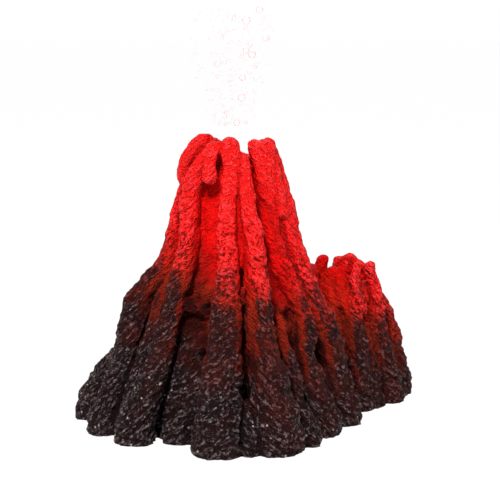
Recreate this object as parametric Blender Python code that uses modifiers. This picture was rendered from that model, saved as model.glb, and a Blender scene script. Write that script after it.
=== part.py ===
"""A bubbling aquarium volcano: a hollow cast ornament that stands over a lit air bubbler.

The object stands on Z = 0 with its front towards -Y. Lengths are in metres.
"""
import math

import bmesh
import bpy
from mathutils import Vector

MM = 0.001
MERGE = 0.01 * MM

# Overall sizes of the cast volcano
SHELL_HEIGHT = 139 * MM
SHELL_REACH = 64 * MM
SIDE_HEIGHT = 75 * MM
SIDE_REACH = 33 * MM
MAIN_AXIS = (-8.6 * MM, -2.2 * MM)
SIDE_AXIS_FROM_MAIN = (57.5 * MM, 35 * MM)
GRAIN = 2.6 * MM
SHELL_FACETS = 6200

# Clearances that tie the pieces together
GAP = 0.3 * MM
HOSE_ROOM = 4 * MM
HEAD_ROOM = 4 * MM

# Air bubbler
CUP_RADIUS = 17 * MM
CUP_HEIGHT = 6.2 * MM
CUP_NECK_RADIUS = 2.8 * MM
CUP_KNOB_RADIUS = 4.4 * MM
CUP_KNOB_HEIGHT = 2.6 * MM
CASE_RADIUS = 22 * MM
CASE_HEIGHT = 14 * MM
CASE_WALL = 2 * MM
CASE_FLOOR = 1.8 * MM
CASE_CHAMFER = 1 * MM
EAR_RADIUS = 3.2 * MM
EAR_REACH = CASE_RADIUS + 1.4 * MM
SCREW_RADIUS = 0.9 * MM
SCREW_HEAD_RADIUS = 2.1 * MM
SCREW_HEAD_HEIGHT = 1.3 * MM
SCREW_LENGTH = 7 * MM
SCREW_TIP = 1 * MM
RECESS_SIZE = (2.4 * MM, 0.5 * MM, 1.2 * MM)
SCREW_COUNT = 3
LENS_THICKNESS = 2.4 * MM
LENS_CHAMFER = 0.7 * MM
SEAL_THICKNESS = 0.8 * MM
BOARD_THICKNESS = 1.6 * MM
LED_COUNT = 6
LED_RADIUS = 2.5 * MM
LED_HEIGHT = 8 * MM
LED_FLANGE = 0.4 * MM
LED_FLANGE_HEIGHT = 1 * MM
RESISTOR_SIZE = (1.6 * MM, 3.2 * MM, 0.7 * MM)
STONE_RADIUS = 8.7 * MM
STONE_HEIGHT = 7 * MM
STONE_SEAT_WALL = 1.6 * MM
STONE_LEDGE = 1.6 * MM
STONE_CHAMFER = 1.2 * MM
STONE_DOME = 0.8 * MM
AIR_ROOM_HEIGHT = 3.6 * MM
INLET_BORE = 1.1 * MM
INLET_STEM = 2.3 * MM
INLET_LENGTH = 12 * MM
INLET_DEPTH = 5.4 * MM
COLLAR_WIDTH = 1.5 * MM
COLLAR_TOP = 1.6 * MM
BARB_COUNT = 3
BARB_RISE = 0.35 * MM
BARB_DIP = 0.25 * MM
GLAND_BORE = 1.5 * MM
GLAND_LENGTH = 8 * MM
GLAND_TURN = 34
GLAND_RIBS = 3
GLAND_WALL = 0.7 * MM

# Hose notch in the back of the volcano's foot, and its two craters
NOTCH_WIDTH = 15 * MM
NOTCH_HEIGHT = 9 * MM
THROAT_RADIUS = 7 * MM
CRATER_RADIUS = 11.5 * MM
CRATER_WALL_DEPTH = 5 * MM
CRATER_DEPTH = 15 * MM
THROAT_DEPTH = 24 * MM
SIDE_CRATER_RADIUS = 5.5 * MM
SIDE_CRATER_WALL_DEPTH = 8 * MM
SIDE_CRATER_DEPTH = 13 * MM
CUT_MARGIN = 4 * MM
# Narrow and wide shoulders of the hollow, each (share of the reach, share of the height)
HOLLOW_SHOULDERS = ((0.26, 0.55), (0.39, 0.36))

# Lava flows, each from the rim down: (share of the height, azimuth, share of the reach, girth).
# The azimuth is in degrees from the front, towards the right; the girth is a share of the reach.
MAIN_FLOWS = {
    "left_drip": ((0.960, -60, 0.335, 0.09), (0.93, -78, 0.36, 0.09), (0.87, -90, 0.39, 0.08),
                  (0.845, -91, 0.395, 0.07)),
    "left": ((0.90, -80, 0.33, 0.08), (0.74, -77, 0.44, 0.10), (0.57, -74, 0.56, 0.11),
             (0.50, -78, 0.65, 0.13), (0.44, -79, 0.77, 0.14), (0.37, -78, 0.83, 0.14),
             (0.25, -76, 0.88, 0.13), (0.13, -73, 0.98, 0.14), (0.04, -69, 1.08, 0.15)),
    "left_low": ((0.34, -86, 0.78, 0.10), (0.25, -88, 0.87, 0.12), (0.16, -92, 1.03, 0.14),
                 (0.08, -94, 1.14, 0.15), (0.03, -96, 1.19, 0.15)),
    "left_front": ((0.95, -26, 0.31, 0.065), (0.90, -44, 0.355, 0.07), (0.80, -58, 0.41, 0.08),
                   (0.63, -43, 0.50, 0.09), (0.45, -44, 0.62, 0.10), (0.27, -46, 0.76, 0.12),
                   (0.12, -49, 0.90, 0.15), (0.03, -52, 0.985, 0.17)),
    "short_drip": ((0.95, -29, 0.32, 0.05), (0.90, -27, 0.365, 0.05), (0.86, -26, 0.385, 0.055)),
    "sill": ((0.44, -37, 0.52, 0.08), (0.43, -22, 0.515, 0.08), (0.44, -8, 0.54, 0.08)),
    "apron": ((0.29, -24, 0.60, 0.08), (0.15, -32, 0.68, 0.11), (0.03, -39, 0.74, 0.13)),
    "front": ((0.955, 0, 0.31, 0.085), (0.80, -1, 0.39, 0.08), (0.60, -2, 0.54, 0.105),
              (0.36, -3, 0.73, 0.145), (0.17, -5, 0.88, 0.18), (0.04, -5.5, 0.985, 0.20)),
    "front_right": ((0.93, 20, 0.30, 0.06), (0.80, 20, 0.39, 0.07), (0.60, 23, 0.55, 0.10),
                    (0.36, 21, 0.71, 0.11), (0.18, 23, 0.87, 0.17), (0.04, 24, 0.985, 0.235)),
    "thin": ((0.42, 40, 0.62, 0.05), (0.25, 40, 0.72, 0.06), (0.10, 44, 0.78, 0.07)),
    "right": ((0.95, 64, 0.355, 0.10), (0.88, 54, 0.385, 0.09), (0.70, 51, 0.46, 0.085),
              (0.56, 57, 0.54, 0.085), (0.42, 67, 0.63, 0.085), (0.24, 62, 0.73, 0.10),
              (0.12, 62, 0.81, 0.12), (0.03, 64, 0.89, 0.145)),
    "right_far": ((0.93, 88, 0.33, 0.08), (0.80, 74, 0.43, 0.09), (0.62, 72, 0.56, 0.10),
                  (0.44, 78, 0.69, 0.11), (0.32, 85, 0.81, 0.12), (0.18, 86, 0.88, 0.12),
                  (0.04, 86, 0.975, 0.14)),
    "saddle": ((0.90, 112, 0.32, 0.08), (0.68, 108, 0.46, 0.09), (0.45, 112, 0.70, 0.13),
               (0.25, 112, 0.85, 0.14), (0.04, 110, 0.95, 0.16)),
    "back_right": ((0.93, 138, 0.33, 0.085), (0.74, 142, 0.43, 0.09), (0.50, 146, 0.61, 0.11),
                   (0.25, 148, 0.82, 0.14), (0.04, 150, 0.97, 0.18)),
    "back": ((0.93, 178, 0.31, 0.085), (0.75, 173, 0.42, 0.09), (0.50, 176, 0.60, 0.11),
             (0.25, 181, 0.80, 0.14), (0.04, 182, 0.97, 0.19)),
    "back_left": ((0.935, -142, 0.33, 0.09), (0.75, -149, 0.43, 0.09), (0.52, -150, 0.60, 0.11),
                  (0.25, -149, 0.82, 0.14), (0.04, -146, 0.98, 0.18)),
    "left_back": ((0.935, -106, 0.32, 0.08), (0.74, -112, 0.43, 0.09), (0.50, -116, 0.64, 0.12),
                  (0.30, -118, 0.82, 0.14), (0.12, -119, 0.97, 0.16), (0.03, -120, 1.06, 0.18)),
}
SIDE_FLOWS = {
    "right": ((0.86, 94, 0.42, 0.15), (0.74, 102, 0.60, 0.15), (0.57, 105, 0.78, 0.17),
              (0.30, 109, 0.96, 0.20), (0.12, 115, 1.12, 0.23), (0.03, 119, 1.20, 0.25)),
    "front": ((0.88, -8, 0.38, 0.14), (0.75, 2, 0.48, 0.14), (0.50, 14, 0.62, 0.17),
              (0.25, 26, 0.66, 0.20), (0.03, 35, 0.70, 0.23)),
    "left": ((0.93, -98, 0.46, 0.15), (0.75, -84, 0.56, 0.16), (0.40, -64, 0.66, 0.2)),
    "left_front": ((0.94, -66, 0.40, 0.12), (0.70, -40, 0.50, 0.15), (0.35, -25, 0.60, 0.2)),
    "bridge": ((0.90, -78, 0.74, 0.17), (0.70, -70, 0.80, 0.20), (0.30, -62, 0.80, 0.25)),
    "back_right": ((0.90, 136, 0.40, 0.13), (0.60, 140, 0.66, 0.15), (0.28, 146, 0.88, 0.19),
                   (0.03, 150, 1.0, 0.25)),
    "back": ((0.93, 170, 0.38, 0.14), (0.60, 176, 0.62, 0.15), (0.28, -178, 0.84, 0.19),
             (0.03, -176, 0.98, 0.25)),
    "back_left": ((0.92, -158, 0.38, 0.13), (0.60, -150, 0.60, 0.15), (0.28, -144, 0.82, 0.20),
                  (0.03, -140, 0.96, 0.25)),
}
# A flow that ends lower than this share of the height stands on the floor. It runs on below it, to be
# cut flush: inwards to this share of its place, and down by so many of its own radii.
TOE_SHARE = 0.05
TOE_TUCK = 0.98
TOE_DROP = 1.2
# Core under the flows: (share of the height, share of the reach)
MAIN_CORE = ((0.92, 0.20), (0.80, 0.26), (0.60, 0.37), (0.40, 0.49), (0.20, 0.62), (0.0, 0.70))
SIDE_CORE = ((0.84, 0.30), (0.60, 0.42), (0.30, 0.54), (0.0, 0.64))
CORE_DROP = 8 * MM
CORE_LAP = 0.1 * MM

# Heights that follow from the sizes above
CASE_BOTTOM = CUP_HEIGHT + GAP
CASE_TOP = CASE_BOTTOM + CASE_HEIGHT
SEAL_BOTTOM = CASE_TOP + GAP
LENS_BOTTOM = SEAL_BOTTOM + SEAL_THICKNESS + GAP
LENS_TOP = LENS_BOTTOM + LENS_THICKNESS
SOCKET_TOP = CASE_BOTTOM + CASE_FLOOR + CUP_KNOB_HEIGHT + 2 * GAP
AIR_ROOM_BOTTOM = SOCKET_TOP + CASE_FLOOR
LEDGE_TOP = AIR_ROOM_BOTTOM + AIR_ROOM_HEIGHT
STONE_BOTTOM = LEDGE_TOP + GAP + SEAL_THICKNESS + GAP
STONE_TOP = STONE_BOTTOM + STONE_HEIGHT
BOSS_RADIUS = STONE_RADIUS + GAP + STONE_SEAT_WALL
BOSS_TOP = LENS_TOP - GAP
AIR_ROOM_RADIUS = STONE_RADIUS + GAP - STONE_LEDGE
INLET_HEIGHT = AIR_ROOM_BOTTOM + AIR_ROOM_HEIGHT / 2
BOARD_BOTTOM = CASE_BOTTOM + CASE_FLOOR + GAP
LED_BOTTOM = BOARD_BOTTOM + BOARD_THICKNESS + GAP
LED_RING_RADIUS = (BOSS_RADIUS + CASE_RADIUS - CASE_WALL) / 2
CAVITY_RADIUS = CASE_RADIUS + INLET_LENGTH + HOSE_ROOM
CAVITY_ROOM = STONE_TOP + HEAD_ROOM


def clear_scene():
    for found in list(bpy.data.objects):
        bpy.data.objects.remove(found, do_unlink=True)


def new_collection(name):
    made = bpy.data.collections.new(name)
    bpy.context.scene.collection.children.link(made)
    return made


def new_material(name, colour, roughness, metallic=0.0, transmission=0.0, alpha=1.0):
    made = bpy.data.materials.new(name)
    made.use_nodes = True
    shader = made.node_tree.nodes["Principled BSDF"]
    shader.inputs["Base Color"].default_value = (*colour, 1.0)
    shader.inputs["Roughness"].default_value = roughness
    shader.inputs["Metallic"].default_value = metallic
    shader.inputs["Transmission Weight"].default_value = transmission
    shader.inputs["Alpha"].default_value = alpha
    made.diffuse_color = (*colour, alpha)
    return made


def place(name, mesh, collection, material=None, at=(0.0, 0.0, 0.0)):
    made = bpy.data.objects.new(name, mesh)
    made.location = at
    collection.objects.link(made)
    if material:
        mesh.materials.append(material)
    return made


def hide_guide(guide):
    guide.hide_render = True
    guide.display_type = "WIRE"


def smooth(mesh, angle=35):
    mesh.shade_smooth()
    mesh.set_sharp_from_angle(angle=math.radians(angle))


def polar(radius, azimuth, height, axis=(0.0, 0.0)):
    """A point at this azimuth, in degrees from the front towards the right."""
    turn = math.radians(azimuth)
    return Vector((axis[0] + radius * math.sin(turn), axis[1] - radius * math.cos(turn), height))


def apply_modifiers(thing):
    """Give the object the mesh that its modifiers make."""
    bpy.context.view_layer.update()
    evaluated = thing.evaluated_get(bpy.context.evaluated_depsgraph_get())
    made = bpy.data.meshes.new_from_object(evaluated)
    thing.modifiers.clear()
    plain = thing.data
    thing.data = made
    bpy.data.meshes.remove(plain)
    made.name = thing.name


def turned(name, profile, collection, material=None, steps=48, closed=False, at=(0.0, 0.0, 0.0)):
    """A solid of revolution about Z from (radius, height) points, listed down the outer side."""
    mesh = bpy.data.meshes.new(name)
    points = [(radius, 0.0, height) for radius, height in profile]
    edges = [(i, i + 1) for i in range(len(points) - 1)]
    if closed:
        edges.append((len(points) - 1, 0))
    mesh.from_pydata(points, edges, [])
    made = place(name, mesh, collection, material, at)
    screw = made.modifiers.new("turn", "SCREW")
    screw.steps = steps
    screw.render_steps = steps
    screw.use_merge_vertices = True
    screw.merge_threshold = MERGE
    apply_modifiers(made)
    smooth(made.data)
    return made


def rod(name, radius, length, collection, at, turn=(0.0, 0.0, 0.0), sides=32, material=None):
    """A cylinder along its own Z, centred on its place."""
    mesh = bpy.data.meshes.new(name)
    shape = bmesh.new()
    bmesh.ops.create_cone(shape, cap_ends=True, segments=sides, radius1=radius, radius2=radius,
                          depth=length)
    shape.to_mesh(mesh)
    shape.free()
    smooth(mesh)
    made = place(name, mesh, collection, material, at)
    made.rotation_euler = turn
    return made


def block(name, size, collection, at, material=None):
    mesh = bpy.data.meshes.new(name)
    shape = bmesh.new()
    bmesh.ops.create_cube(shape, size=1.0)
    bmesh.ops.scale(shape, vec=size, verts=shape.verts)
    shape.to_mesh(mesh)
    shape.free()
    return place(name, mesh, collection, material, at)


def combine(body, tool, operation):
    """Cut the tool from the body, or join it on."""
    step = body.modifiers.new(operation.lower() + " " + tool.name, "BOOLEAN")
    step.operation = operation
    step.object = tool
    step.solver = "EXACT"
    hide_guide(tool)


def flow_points(flow, height, reach):
    """The centre line and girth of a flow, in metres: its crest is at the stated reach."""
    line = []
    for rise, azimuth, out, girth in flow:
        thickness = girth * reach
        line.append((polar(out * reach - thickness, azimuth, rise * height), thickness))
    foot, thickness = line[-1]
    if flow[-1][0] < TOE_SHARE:
        below = Vector((TOE_TUCK * foot.x, TOE_TUCK * foot.y, -TOE_DROP * thickness))
        line.append((below, thickness))
    return line


def flow_mesh(name, line):
    """A lava flow as a tube of changing girth, with a round lobe at each end."""
    curve = bpy.data.curves.new(name, "CURVE")
    curve.dimensions = "3D"
    curve.bevel_depth = 1.0
    curve.bevel_resolution = 3
    curve.use_fill_caps = True
    spline = curve.splines.new("BEZIER")
    spline.resolution_u = 4
    spline.bezier_points.add(len(line) - 1)
    for point, (centre, thickness) in zip(spline.bezier_points, line):
        point.co = centre
        point.radius = thickness
        point.handle_left_type = "AUTO"
        point.handle_right_type = "AUTO"
    holder = bpy.data.objects.new(name, curve)
    bpy.context.scene.collection.objects.link(holder)
    bpy.context.view_layer.update()
    shape = bmesh.new()
    evaluated = holder.evaluated_get(bpy.context.evaluated_depsgraph_get())
    tube = bpy.data.meshes.new_from_object(evaluated)
    shape.from_mesh(tube)
    bmesh.ops.remove_doubles(shape, verts=shape.verts, dist=MERGE)
    for centre, thickness in (line[0], line[-1]):
        lobe = bmesh.ops.create_uvsphere(shape, u_segments=12, v_segments=8, radius=thickness)
        bmesh.ops.translate(shape, verts=lobe["verts"], vec=centre)
    bpy.data.objects.remove(holder, do_unlink=True)
    bpy.data.meshes.remove(tube)
    return shape


def add_shape(whole, shape, shift):
    """Move a shape to its cone's axis and add it to the whole."""
    bmesh.ops.translate(shape, verts=shape.verts, vec=(shift[0], shift[1], 0.0))
    piece = bpy.data.meshes.new("piece")
    shape.to_mesh(piece)
    shape.free()
    whole.from_mesh(piece)
    bpy.data.meshes.remove(piece)


def core_shape(profile, height, reach):
    """The solid cone under the flows, as stacked rings that run a little below the floor."""
    rings = [(out * reach, rise * height) for rise, out in profile]
    rings.append((rings[-1][0], -CORE_DROP))
    shape = bmesh.new()
    for (upper_radius, upper), (lower_radius, lower) in zip(rings, rings[1:]):
        made = bmesh.ops.create_cone(shape, cap_ends=True, segments=40, radius1=lower_radius,
                                     radius2=upper_radius, depth=upper - lower + CORE_LAP)
        bmesh.ops.translate(shape, verts=made["verts"], vec=(0.0, 0.0, (upper + lower) / 2))
    return shape


def volcano_mesh():
    """All the flows and both cores in one mesh, still overlapping."""
    side_axis = (MAIN_AXIS[0] + SIDE_AXIS_FROM_MAIN[0], MAIN_AXIS[1] + SIDE_AXIS_FROM_MAIN[1])
    whole = bmesh.new()
    cones = (
        (MAIN_FLOWS, MAIN_CORE, SHELL_HEIGHT, SHELL_REACH, MAIN_AXIS),
        (SIDE_FLOWS, SIDE_CORE, SIDE_HEIGHT, SIDE_REACH, side_axis),
    )
    for flows, core, height, reach, axis in cones:
        add_shape(whole, core_shape(core, height, reach), axis)
        for name, flow in flows.items():
            add_shape(whole, flow_mesh(name, flow_points(flow, height, reach)), axis)
    mesh = bpy.data.meshes.new("volcano_shell")
    whole.to_mesh(mesh)
    whole.free()
    return mesh


def hollow_profile():
    """The hollow from the crater's mouth, down its throat, to the foot, as an outer side."""
    top = SHELL_HEIGHT
    shoulders = [(out * SHELL_REACH, rise * top) for out, rise in HOLLOW_SHOULDERS]
    return (
        (0.0, top + CUT_MARGIN), (CRATER_RADIUS, top + CUT_MARGIN),
        (CRATER_RADIUS, top - CRATER_WALL_DEPTH), (THROAT_RADIUS, top - CRATER_DEPTH),
        (THROAT_RADIUS, top - THROAT_DEPTH), *shoulders,
        (EAR_REACH + EAR_RADIUS + 3 * MM, CAVITY_ROOM), (CAVITY_RADIUS, INLET_HEIGHT + HOSE_ROOM),
        (CAVITY_RADIUS, -CUT_MARGIN), (0.0, -CUT_MARGIN),
    )


def side_bowl_profile():
    """The blind bowl of the side crater."""
    top = SIDE_HEIGHT
    return (
        (0.0, top + CUT_MARGIN), (SIDE_CRATER_RADIUS, top + CUT_MARGIN),
        (SIDE_CRATER_RADIUS, top - SIDE_CRATER_WALL_DEPTH),
        (0.5 * SIDE_CRATER_RADIUS, top - SIDE_CRATER_DEPTH + 1 * MM), (0.0, top - SIDE_CRATER_DEPTH),
    )


def make_volcano(parts, cutters, material):
    shell = place("volcano_shell", volcano_mesh(), parts, material)
    fuse = shell.modifiers.new("fuse the flows", "REMESH")
    fuse.mode = "VOXEL"
    fuse.voxel_size = GRAIN
    fuse.use_smooth_shade = True
    soften = shell.modifiers.new("soften", "SMOOTH")
    soften.iterations = 2
    thin = shell.modifiers.new("fewer facets", "DECIMATE")
    bpy.context.view_layer.update()
    evaluated = shell.evaluated_get(bpy.context.evaluated_depsgraph_get())
    facets = sum(len(face.vertices) - 2 for face in evaluated.data.polygons)
    thin.ratio = SHELL_FACETS / facets
    axis = (*MAIN_AXIS, 0.0)
    depth = 40 * MM
    span = 4 * SHELL_REACH
    floor_cut = block("floor_cut", (span, span, depth), cutters, (0.0, 0.0, -depth / 2))
    combine(shell, floor_cut, "DIFFERENCE")
    hollow = turned("hollow_cut", hollow_profile(), cutters, steps=36, at=axis)
    combine(shell, hollow, "DIFFERENCE")
    notch_length = 2 * SHELL_REACH - CAVITY_RADIUS
    notch_at = (axis[0], axis[1] + CAVITY_RADIUS / 2 + notch_length / 2, 0.0)
    notch = block("notch_cut", (NOTCH_WIDTH, notch_length, 2 * NOTCH_HEIGHT), cutters, notch_at)
    combine(shell, notch, "DIFFERENCE")
    side_at = (axis[0] + SIDE_AXIS_FROM_MAIN[0], axis[1] + SIDE_AXIS_FROM_MAIN[1], 0.0)
    side_bowl = turned("side_crater_cut", side_bowl_profile(), cutters, steps=20, at=side_at)
    combine(shell, side_bowl, "DIFFERENCE")


def make_suction_cup(parts, material):
    """The soft cup, with a knob that snaps into the socket under the case."""
    neck = CASE_BOTTOM + CASE_FLOOR + GAP
    knob_top = neck + CUP_KNOB_HEIGHT
    profile = (
        (0.0, knob_top), (0.55 * CUP_KNOB_RADIUS, knob_top), (CUP_KNOB_RADIUS, neck + 0.9 * MM),
        (CUP_KNOB_RADIUS, neck), (CUP_NECK_RADIUS, neck), (CUP_NECK_RADIUS, CASE_BOTTOM - GAP),
        (2.2 * CUP_NECK_RADIUS, CUP_HEIGHT), (2.4 * CUP_NECK_RADIUS, 0.72 * CUP_HEIGHT),
        (0.66 * CUP_RADIUS, 0.42 * CUP_HEIGHT), (CUP_RADIUS, 0.16 * CUP_HEIGHT),
        (CUP_RADIUS, 0.0), (0.86 * CUP_RADIUS, 0.0), (0.5 * CUP_RADIUS, 0.22 * CUP_HEIGHT),
        (0.0, 0.3 * CUP_HEIGHT),
    )
    turned("suction_cup", profile, parts, material, steps=40, at=(*MAIN_AXIS, 0.0))


def ears_at(index):
    """Azimuth of a screw ear: the ears leave the back clear for the hose and the lead."""
    return index * 360 / SCREW_COUNT


def make_case(parts, cutters, material):
    """The black tub: its wall, the central boss with the stone's seat, and the air bridge."""
    inner = CASE_RADIUS - CASE_WALL
    floor_top = CASE_BOTTOM + CASE_FLOOR
    profile = (
        (CASE_RADIUS, CASE_TOP), (CASE_RADIUS, CASE_BOTTOM + CASE_CHAMFER),
        (CASE_RADIUS - CASE_CHAMFER, CASE_BOTTOM),
        (CUP_NECK_RADIUS + GAP, CASE_BOTTOM), (CUP_NECK_RADIUS + GAP, floor_top),
        (CUP_KNOB_RADIUS + GAP, floor_top), (CUP_KNOB_RADIUS + GAP, SOCKET_TOP), (0.0, SOCKET_TOP),
        (0.0, AIR_ROOM_BOTTOM), (AIR_ROOM_RADIUS, AIR_ROOM_BOTTOM), (AIR_ROOM_RADIUS, LEDGE_TOP),
        (STONE_RADIUS + GAP, LEDGE_TOP), (STONE_RADIUS + GAP, BOSS_TOP), (BOSS_RADIUS, BOSS_TOP),
        (BOSS_RADIUS, floor_top), (inner, floor_top), (inner, CASE_TOP),
    )
    axis = (*MAIN_AXIS, 0.0)
    case = turned("lower_case", profile, parts, material, steps=60, closed=True, at=axis)
    ear_height = 0.6 * CASE_HEIGHT
    for index in range(SCREW_COUNT):
        at = polar(EAR_REACH, ears_at(index), CASE_TOP - ear_height / 2, MAIN_AXIS)
        ear = rod(f"ear_{index + 1}", EAR_RADIUS, ear_height, cutters, at)
        combine(case, ear, "UNION")
        at = polar(EAR_REACH, ears_at(index), CASE_TOP, MAIN_AXIS)
        hole = rod(f"ear_hole_{index + 1}", SCREW_RADIUS + GAP, 2 * SCREW_LENGTH, cutters, at, sides=16)
        combine(case, hole, "DIFFERENCE")
    bridge_start = STONE_RADIUS + 2 * GAP
    bridge_span = CASE_RADIUS - GAP - bridge_start
    bridge_at = (axis[0], axis[1] + bridge_start + bridge_span / 2, INLET_HEIGHT)
    lying = (math.radians(90), 0.0, 0.0)
    bridge = rod("air_bridge", INLET_STEM + GAP + 1 * MM, bridge_span, cutters, bridge_at, lying)
    combine(case, bridge, "UNION")
    socket_depth = 6 * MM
    socket_at = (axis[0], axis[1] + CASE_RADIUS, INLET_HEIGHT)
    socket = rod("inlet_socket", INLET_STEM + GAP, 2 * socket_depth, cutters, socket_at, lying)
    combine(case, socket, "DIFFERENCE")
    duct_at = (axis[0], axis[1] + CASE_RADIUS / 2, INLET_HEIGHT)
    duct = rod("air_duct", INLET_BORE, CASE_RADIUS, cutters, duct_at, lying, sides=16)
    combine(case, duct, "DIFFERENCE")
    gland_at = polar(CASE_RADIUS - CASE_WALL / 2, 180 + GLAND_TURN, INLET_HEIGHT, MAIN_AXIS)
    lying = (math.radians(90), 0.0, math.radians(GLAND_TURN))
    gland_hole = rod("gland_hole", INLET_STEM + GAP, 3 * CASE_WALL, cutters, gland_at, lying)
    combine(case, gland_hole, "DIFFERENCE")


def make_inlet(parts, material):
    """The hose barb: a stem in the case's socket, a collar, and a row of barbs."""
    pitch = (INLET_LENGTH - 2 * COLLAR_TOP) / BARB_COUNT
    waist = INLET_STEM - BARB_DIP
    profile = [(INLET_BORE, INLET_LENGTH), (waist, INLET_LENGTH)]
    for step in range(BARB_COUNT):
        crest = INLET_LENGTH - step * pitch - 0.5 * pitch
        profile += [(INLET_STEM + BARB_RISE, crest), (waist, crest - 0.1 * pitch)]
    profile += [
        (waist, COLLAR_TOP), (INLET_STEM + COLLAR_WIDTH, COLLAR_TOP),
        (INLET_STEM + COLLAR_WIDTH, GAP), (INLET_STEM, GAP), (INLET_STEM, -INLET_DEPTH),
        (INLET_BORE, -INLET_DEPTH),
    ]
    at = (MAIN_AXIS[0], MAIN_AXIS[1] + CASE_RADIUS, INLET_HEIGHT)
    inlet = turned("air_inlet", profile, parts, material, steps=24, closed=True, at=at)
    inlet.rotation_euler = (math.radians(-90), 0.0, 0.0)


def make_gland(parts, material):
    """The ribbed sleeve that the low-voltage lead would leave by."""
    profile = [(GLAND_BORE, GLAND_LENGTH), (GLAND_BORE + GLAND_WALL, GLAND_LENGTH)]
    pitch = (GLAND_LENGTH - COLLAR_TOP) / GLAND_RIBS
    for rib in range(GLAND_RIBS):
        outer = GLAND_BORE + GLAND_WALL + (rib + 1) * GAP
        middle = GLAND_LENGTH - (rib + 0.5) * pitch
        profile += [
            (outer, middle + 0.25 * pitch), (outer, middle - 0.25 * pitch),
            (outer - GAP, middle - 0.35 * pitch),
        ]
    inner_end = -CASE_WALL - 1 * MM
    profile += [
        (outer, COLLAR_TOP), (INLET_STEM + COLLAR_WIDTH, COLLAR_TOP), (INLET_STEM + COLLAR_WIDTH, GAP),
        (INLET_STEM, GAP), (INLET_STEM, inner_end), (GLAND_BORE, inner_end),
    ]
    at = polar(CASE_RADIUS, 180 + GLAND_TURN, INLET_HEIGHT, MAIN_AXIS)
    gland = turned("cable_gland", profile, parts, material, steps=24, closed=True, at=at)
    gland.rotation_euler = (math.radians(-90), 0.0, math.radians(GLAND_TURN))


def ring_profile(inner, outer, bottom, top):
    return ((outer, top), (outer, bottom), (inner, bottom), (inner, top))


def led_profile():
    """A round lamp with a domed top and a flange at its foot, as an outer side."""
    dome = []
    for angle in (0, 25, 50, 72, 90):
        turn = math.radians(angle)
        dome.append((LED_RADIUS * math.sin(turn), LED_HEIGHT - LED_RADIUS * (1 - math.cos(turn))))
    flange = LED_RADIUS + LED_FLANGE
    return (*dome, (LED_RADIUS, LED_FLANGE_HEIGHT), (flange, LED_FLANGE_HEIGHT), (flange, 0.0), (0.0, 0.0))


def make_board(parts, board_material, led_material, resistor_material):
    """The ring-shaped circuit board, with its lamps and two resistors."""
    inner = BOSS_RADIUS + 2 * GAP
    outer = CASE_RADIUS - CASE_WALL - 2 * GAP
    top = BOARD_BOTTOM + BOARD_THICKNESS
    axis = (*MAIN_AXIS, 0.0)
    profile = ring_profile(inner, outer, BOARD_BOTTOM, top)
    turned("circuit_board", profile, parts, board_material, steps=48, closed=True, at=axis)
    for index in range(LED_COUNT):
        azimuth = (index + 0.5) * 360 / LED_COUNT
        at = polar(LED_RING_RADIUS, azimuth, LED_BOTTOM, MAIN_AXIS)
        turned(f"led_{index + 1}", led_profile(), parts, led_material, steps=20, at=at)
    for index, azimuth in enumerate((-60, 60)):
        at = polar(LED_RING_RADIUS, azimuth, top + GAP + RESISTOR_SIZE[2] / 2, MAIN_AXIS)
        resistor = block(f"resistor_{index + 1}", RESISTOR_SIZE, parts, at, resistor_material)
        resistor.rotation_euler = (0.0, 0.0, math.radians(azimuth))


def make_lens(parts, cutters, lens_material, seal_material):
    """The clear ring over the lamps, with ears to match the case's, and the flat seal under it."""
    outer = CASE_RADIUS
    inner = BOSS_RADIUS + GAP
    axis = (*MAIN_AXIS, 0.0)
    profile = (
        (inner, LENS_TOP), (outer - 2 * LENS_CHAMFER, LENS_TOP), (outer, LENS_TOP - LENS_CHAMFER),
        (outer, LENS_BOTTOM), (inner, LENS_BOTTOM),
    )
    lens = turned("lens", profile, parts, lens_material, steps=60, closed=True, at=axis)
    ear_height = LENS_THICKNESS - LENS_CHAMFER
    seal_top = SEAL_BOTTOM + SEAL_THICKNESS
    profile = ring_profile(CASE_RADIUS - CASE_WALL, CASE_RADIUS - GAP, SEAL_BOTTOM, seal_top)
    seal = turned("lens_seal", profile, parts, seal_material, steps=60, closed=True, at=axis)
    for index in range(SCREW_COUNT):
        at = polar(EAR_REACH, ears_at(index), LENS_BOTTOM + ear_height / 2, MAIN_AXIS)
        ear = rod(f"lens_ear_{index + 1}", EAR_RADIUS, ear_height, cutters, at)
        combine(lens, ear, "UNION")
        at = polar(EAR_REACH, ears_at(index), LENS_BOTTOM, MAIN_AXIS)
        hole = rod(f"lens_hole_{index + 1}", SCREW_RADIUS + GAP, 2 * SCREW_LENGTH, cutters, at, sides=16)
        combine(lens, hole, "DIFFERENCE")
        combine(seal, hole, "DIFFERENCE")


def make_screws(parts, cutters, material):
    """Pan-head screws with a cross recess."""
    seat = LENS_TOP - LENS_CHAMFER + GAP
    head = SCREW_HEAD_HEIGHT
    profile = (
        (0.0, head), (0.5 * SCREW_HEAD_RADIUS, 0.96 * head), (0.85 * SCREW_HEAD_RADIUS, 0.75 * head),
        (SCREW_HEAD_RADIUS, 0.35 * head), (SCREW_HEAD_RADIUS, 0.0), (SCREW_RADIUS, 0.0),
        (SCREW_RADIUS, SCREW_TIP - SCREW_LENGTH), (0.0, -SCREW_LENGTH),
    )
    for index in range(SCREW_COUNT):
        at = polar(EAR_REACH, ears_at(index), seat, MAIN_AXIS)
        screw = turned(f"case_screw_{index + 1}", profile, parts, material, steps=20, at=at)
        for arm, turn in (("a", 20), ("b", 110)):
            top = at + Vector((0.0, 0.0, head))
            slot = block(f"recess_{arm}_{index + 1}", RECESS_SIZE, cutters, top)
            slot.rotation_euler = (0.0, 0.0, math.radians(turn))
            combine(screw, slot, "DIFFERENCE")


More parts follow.
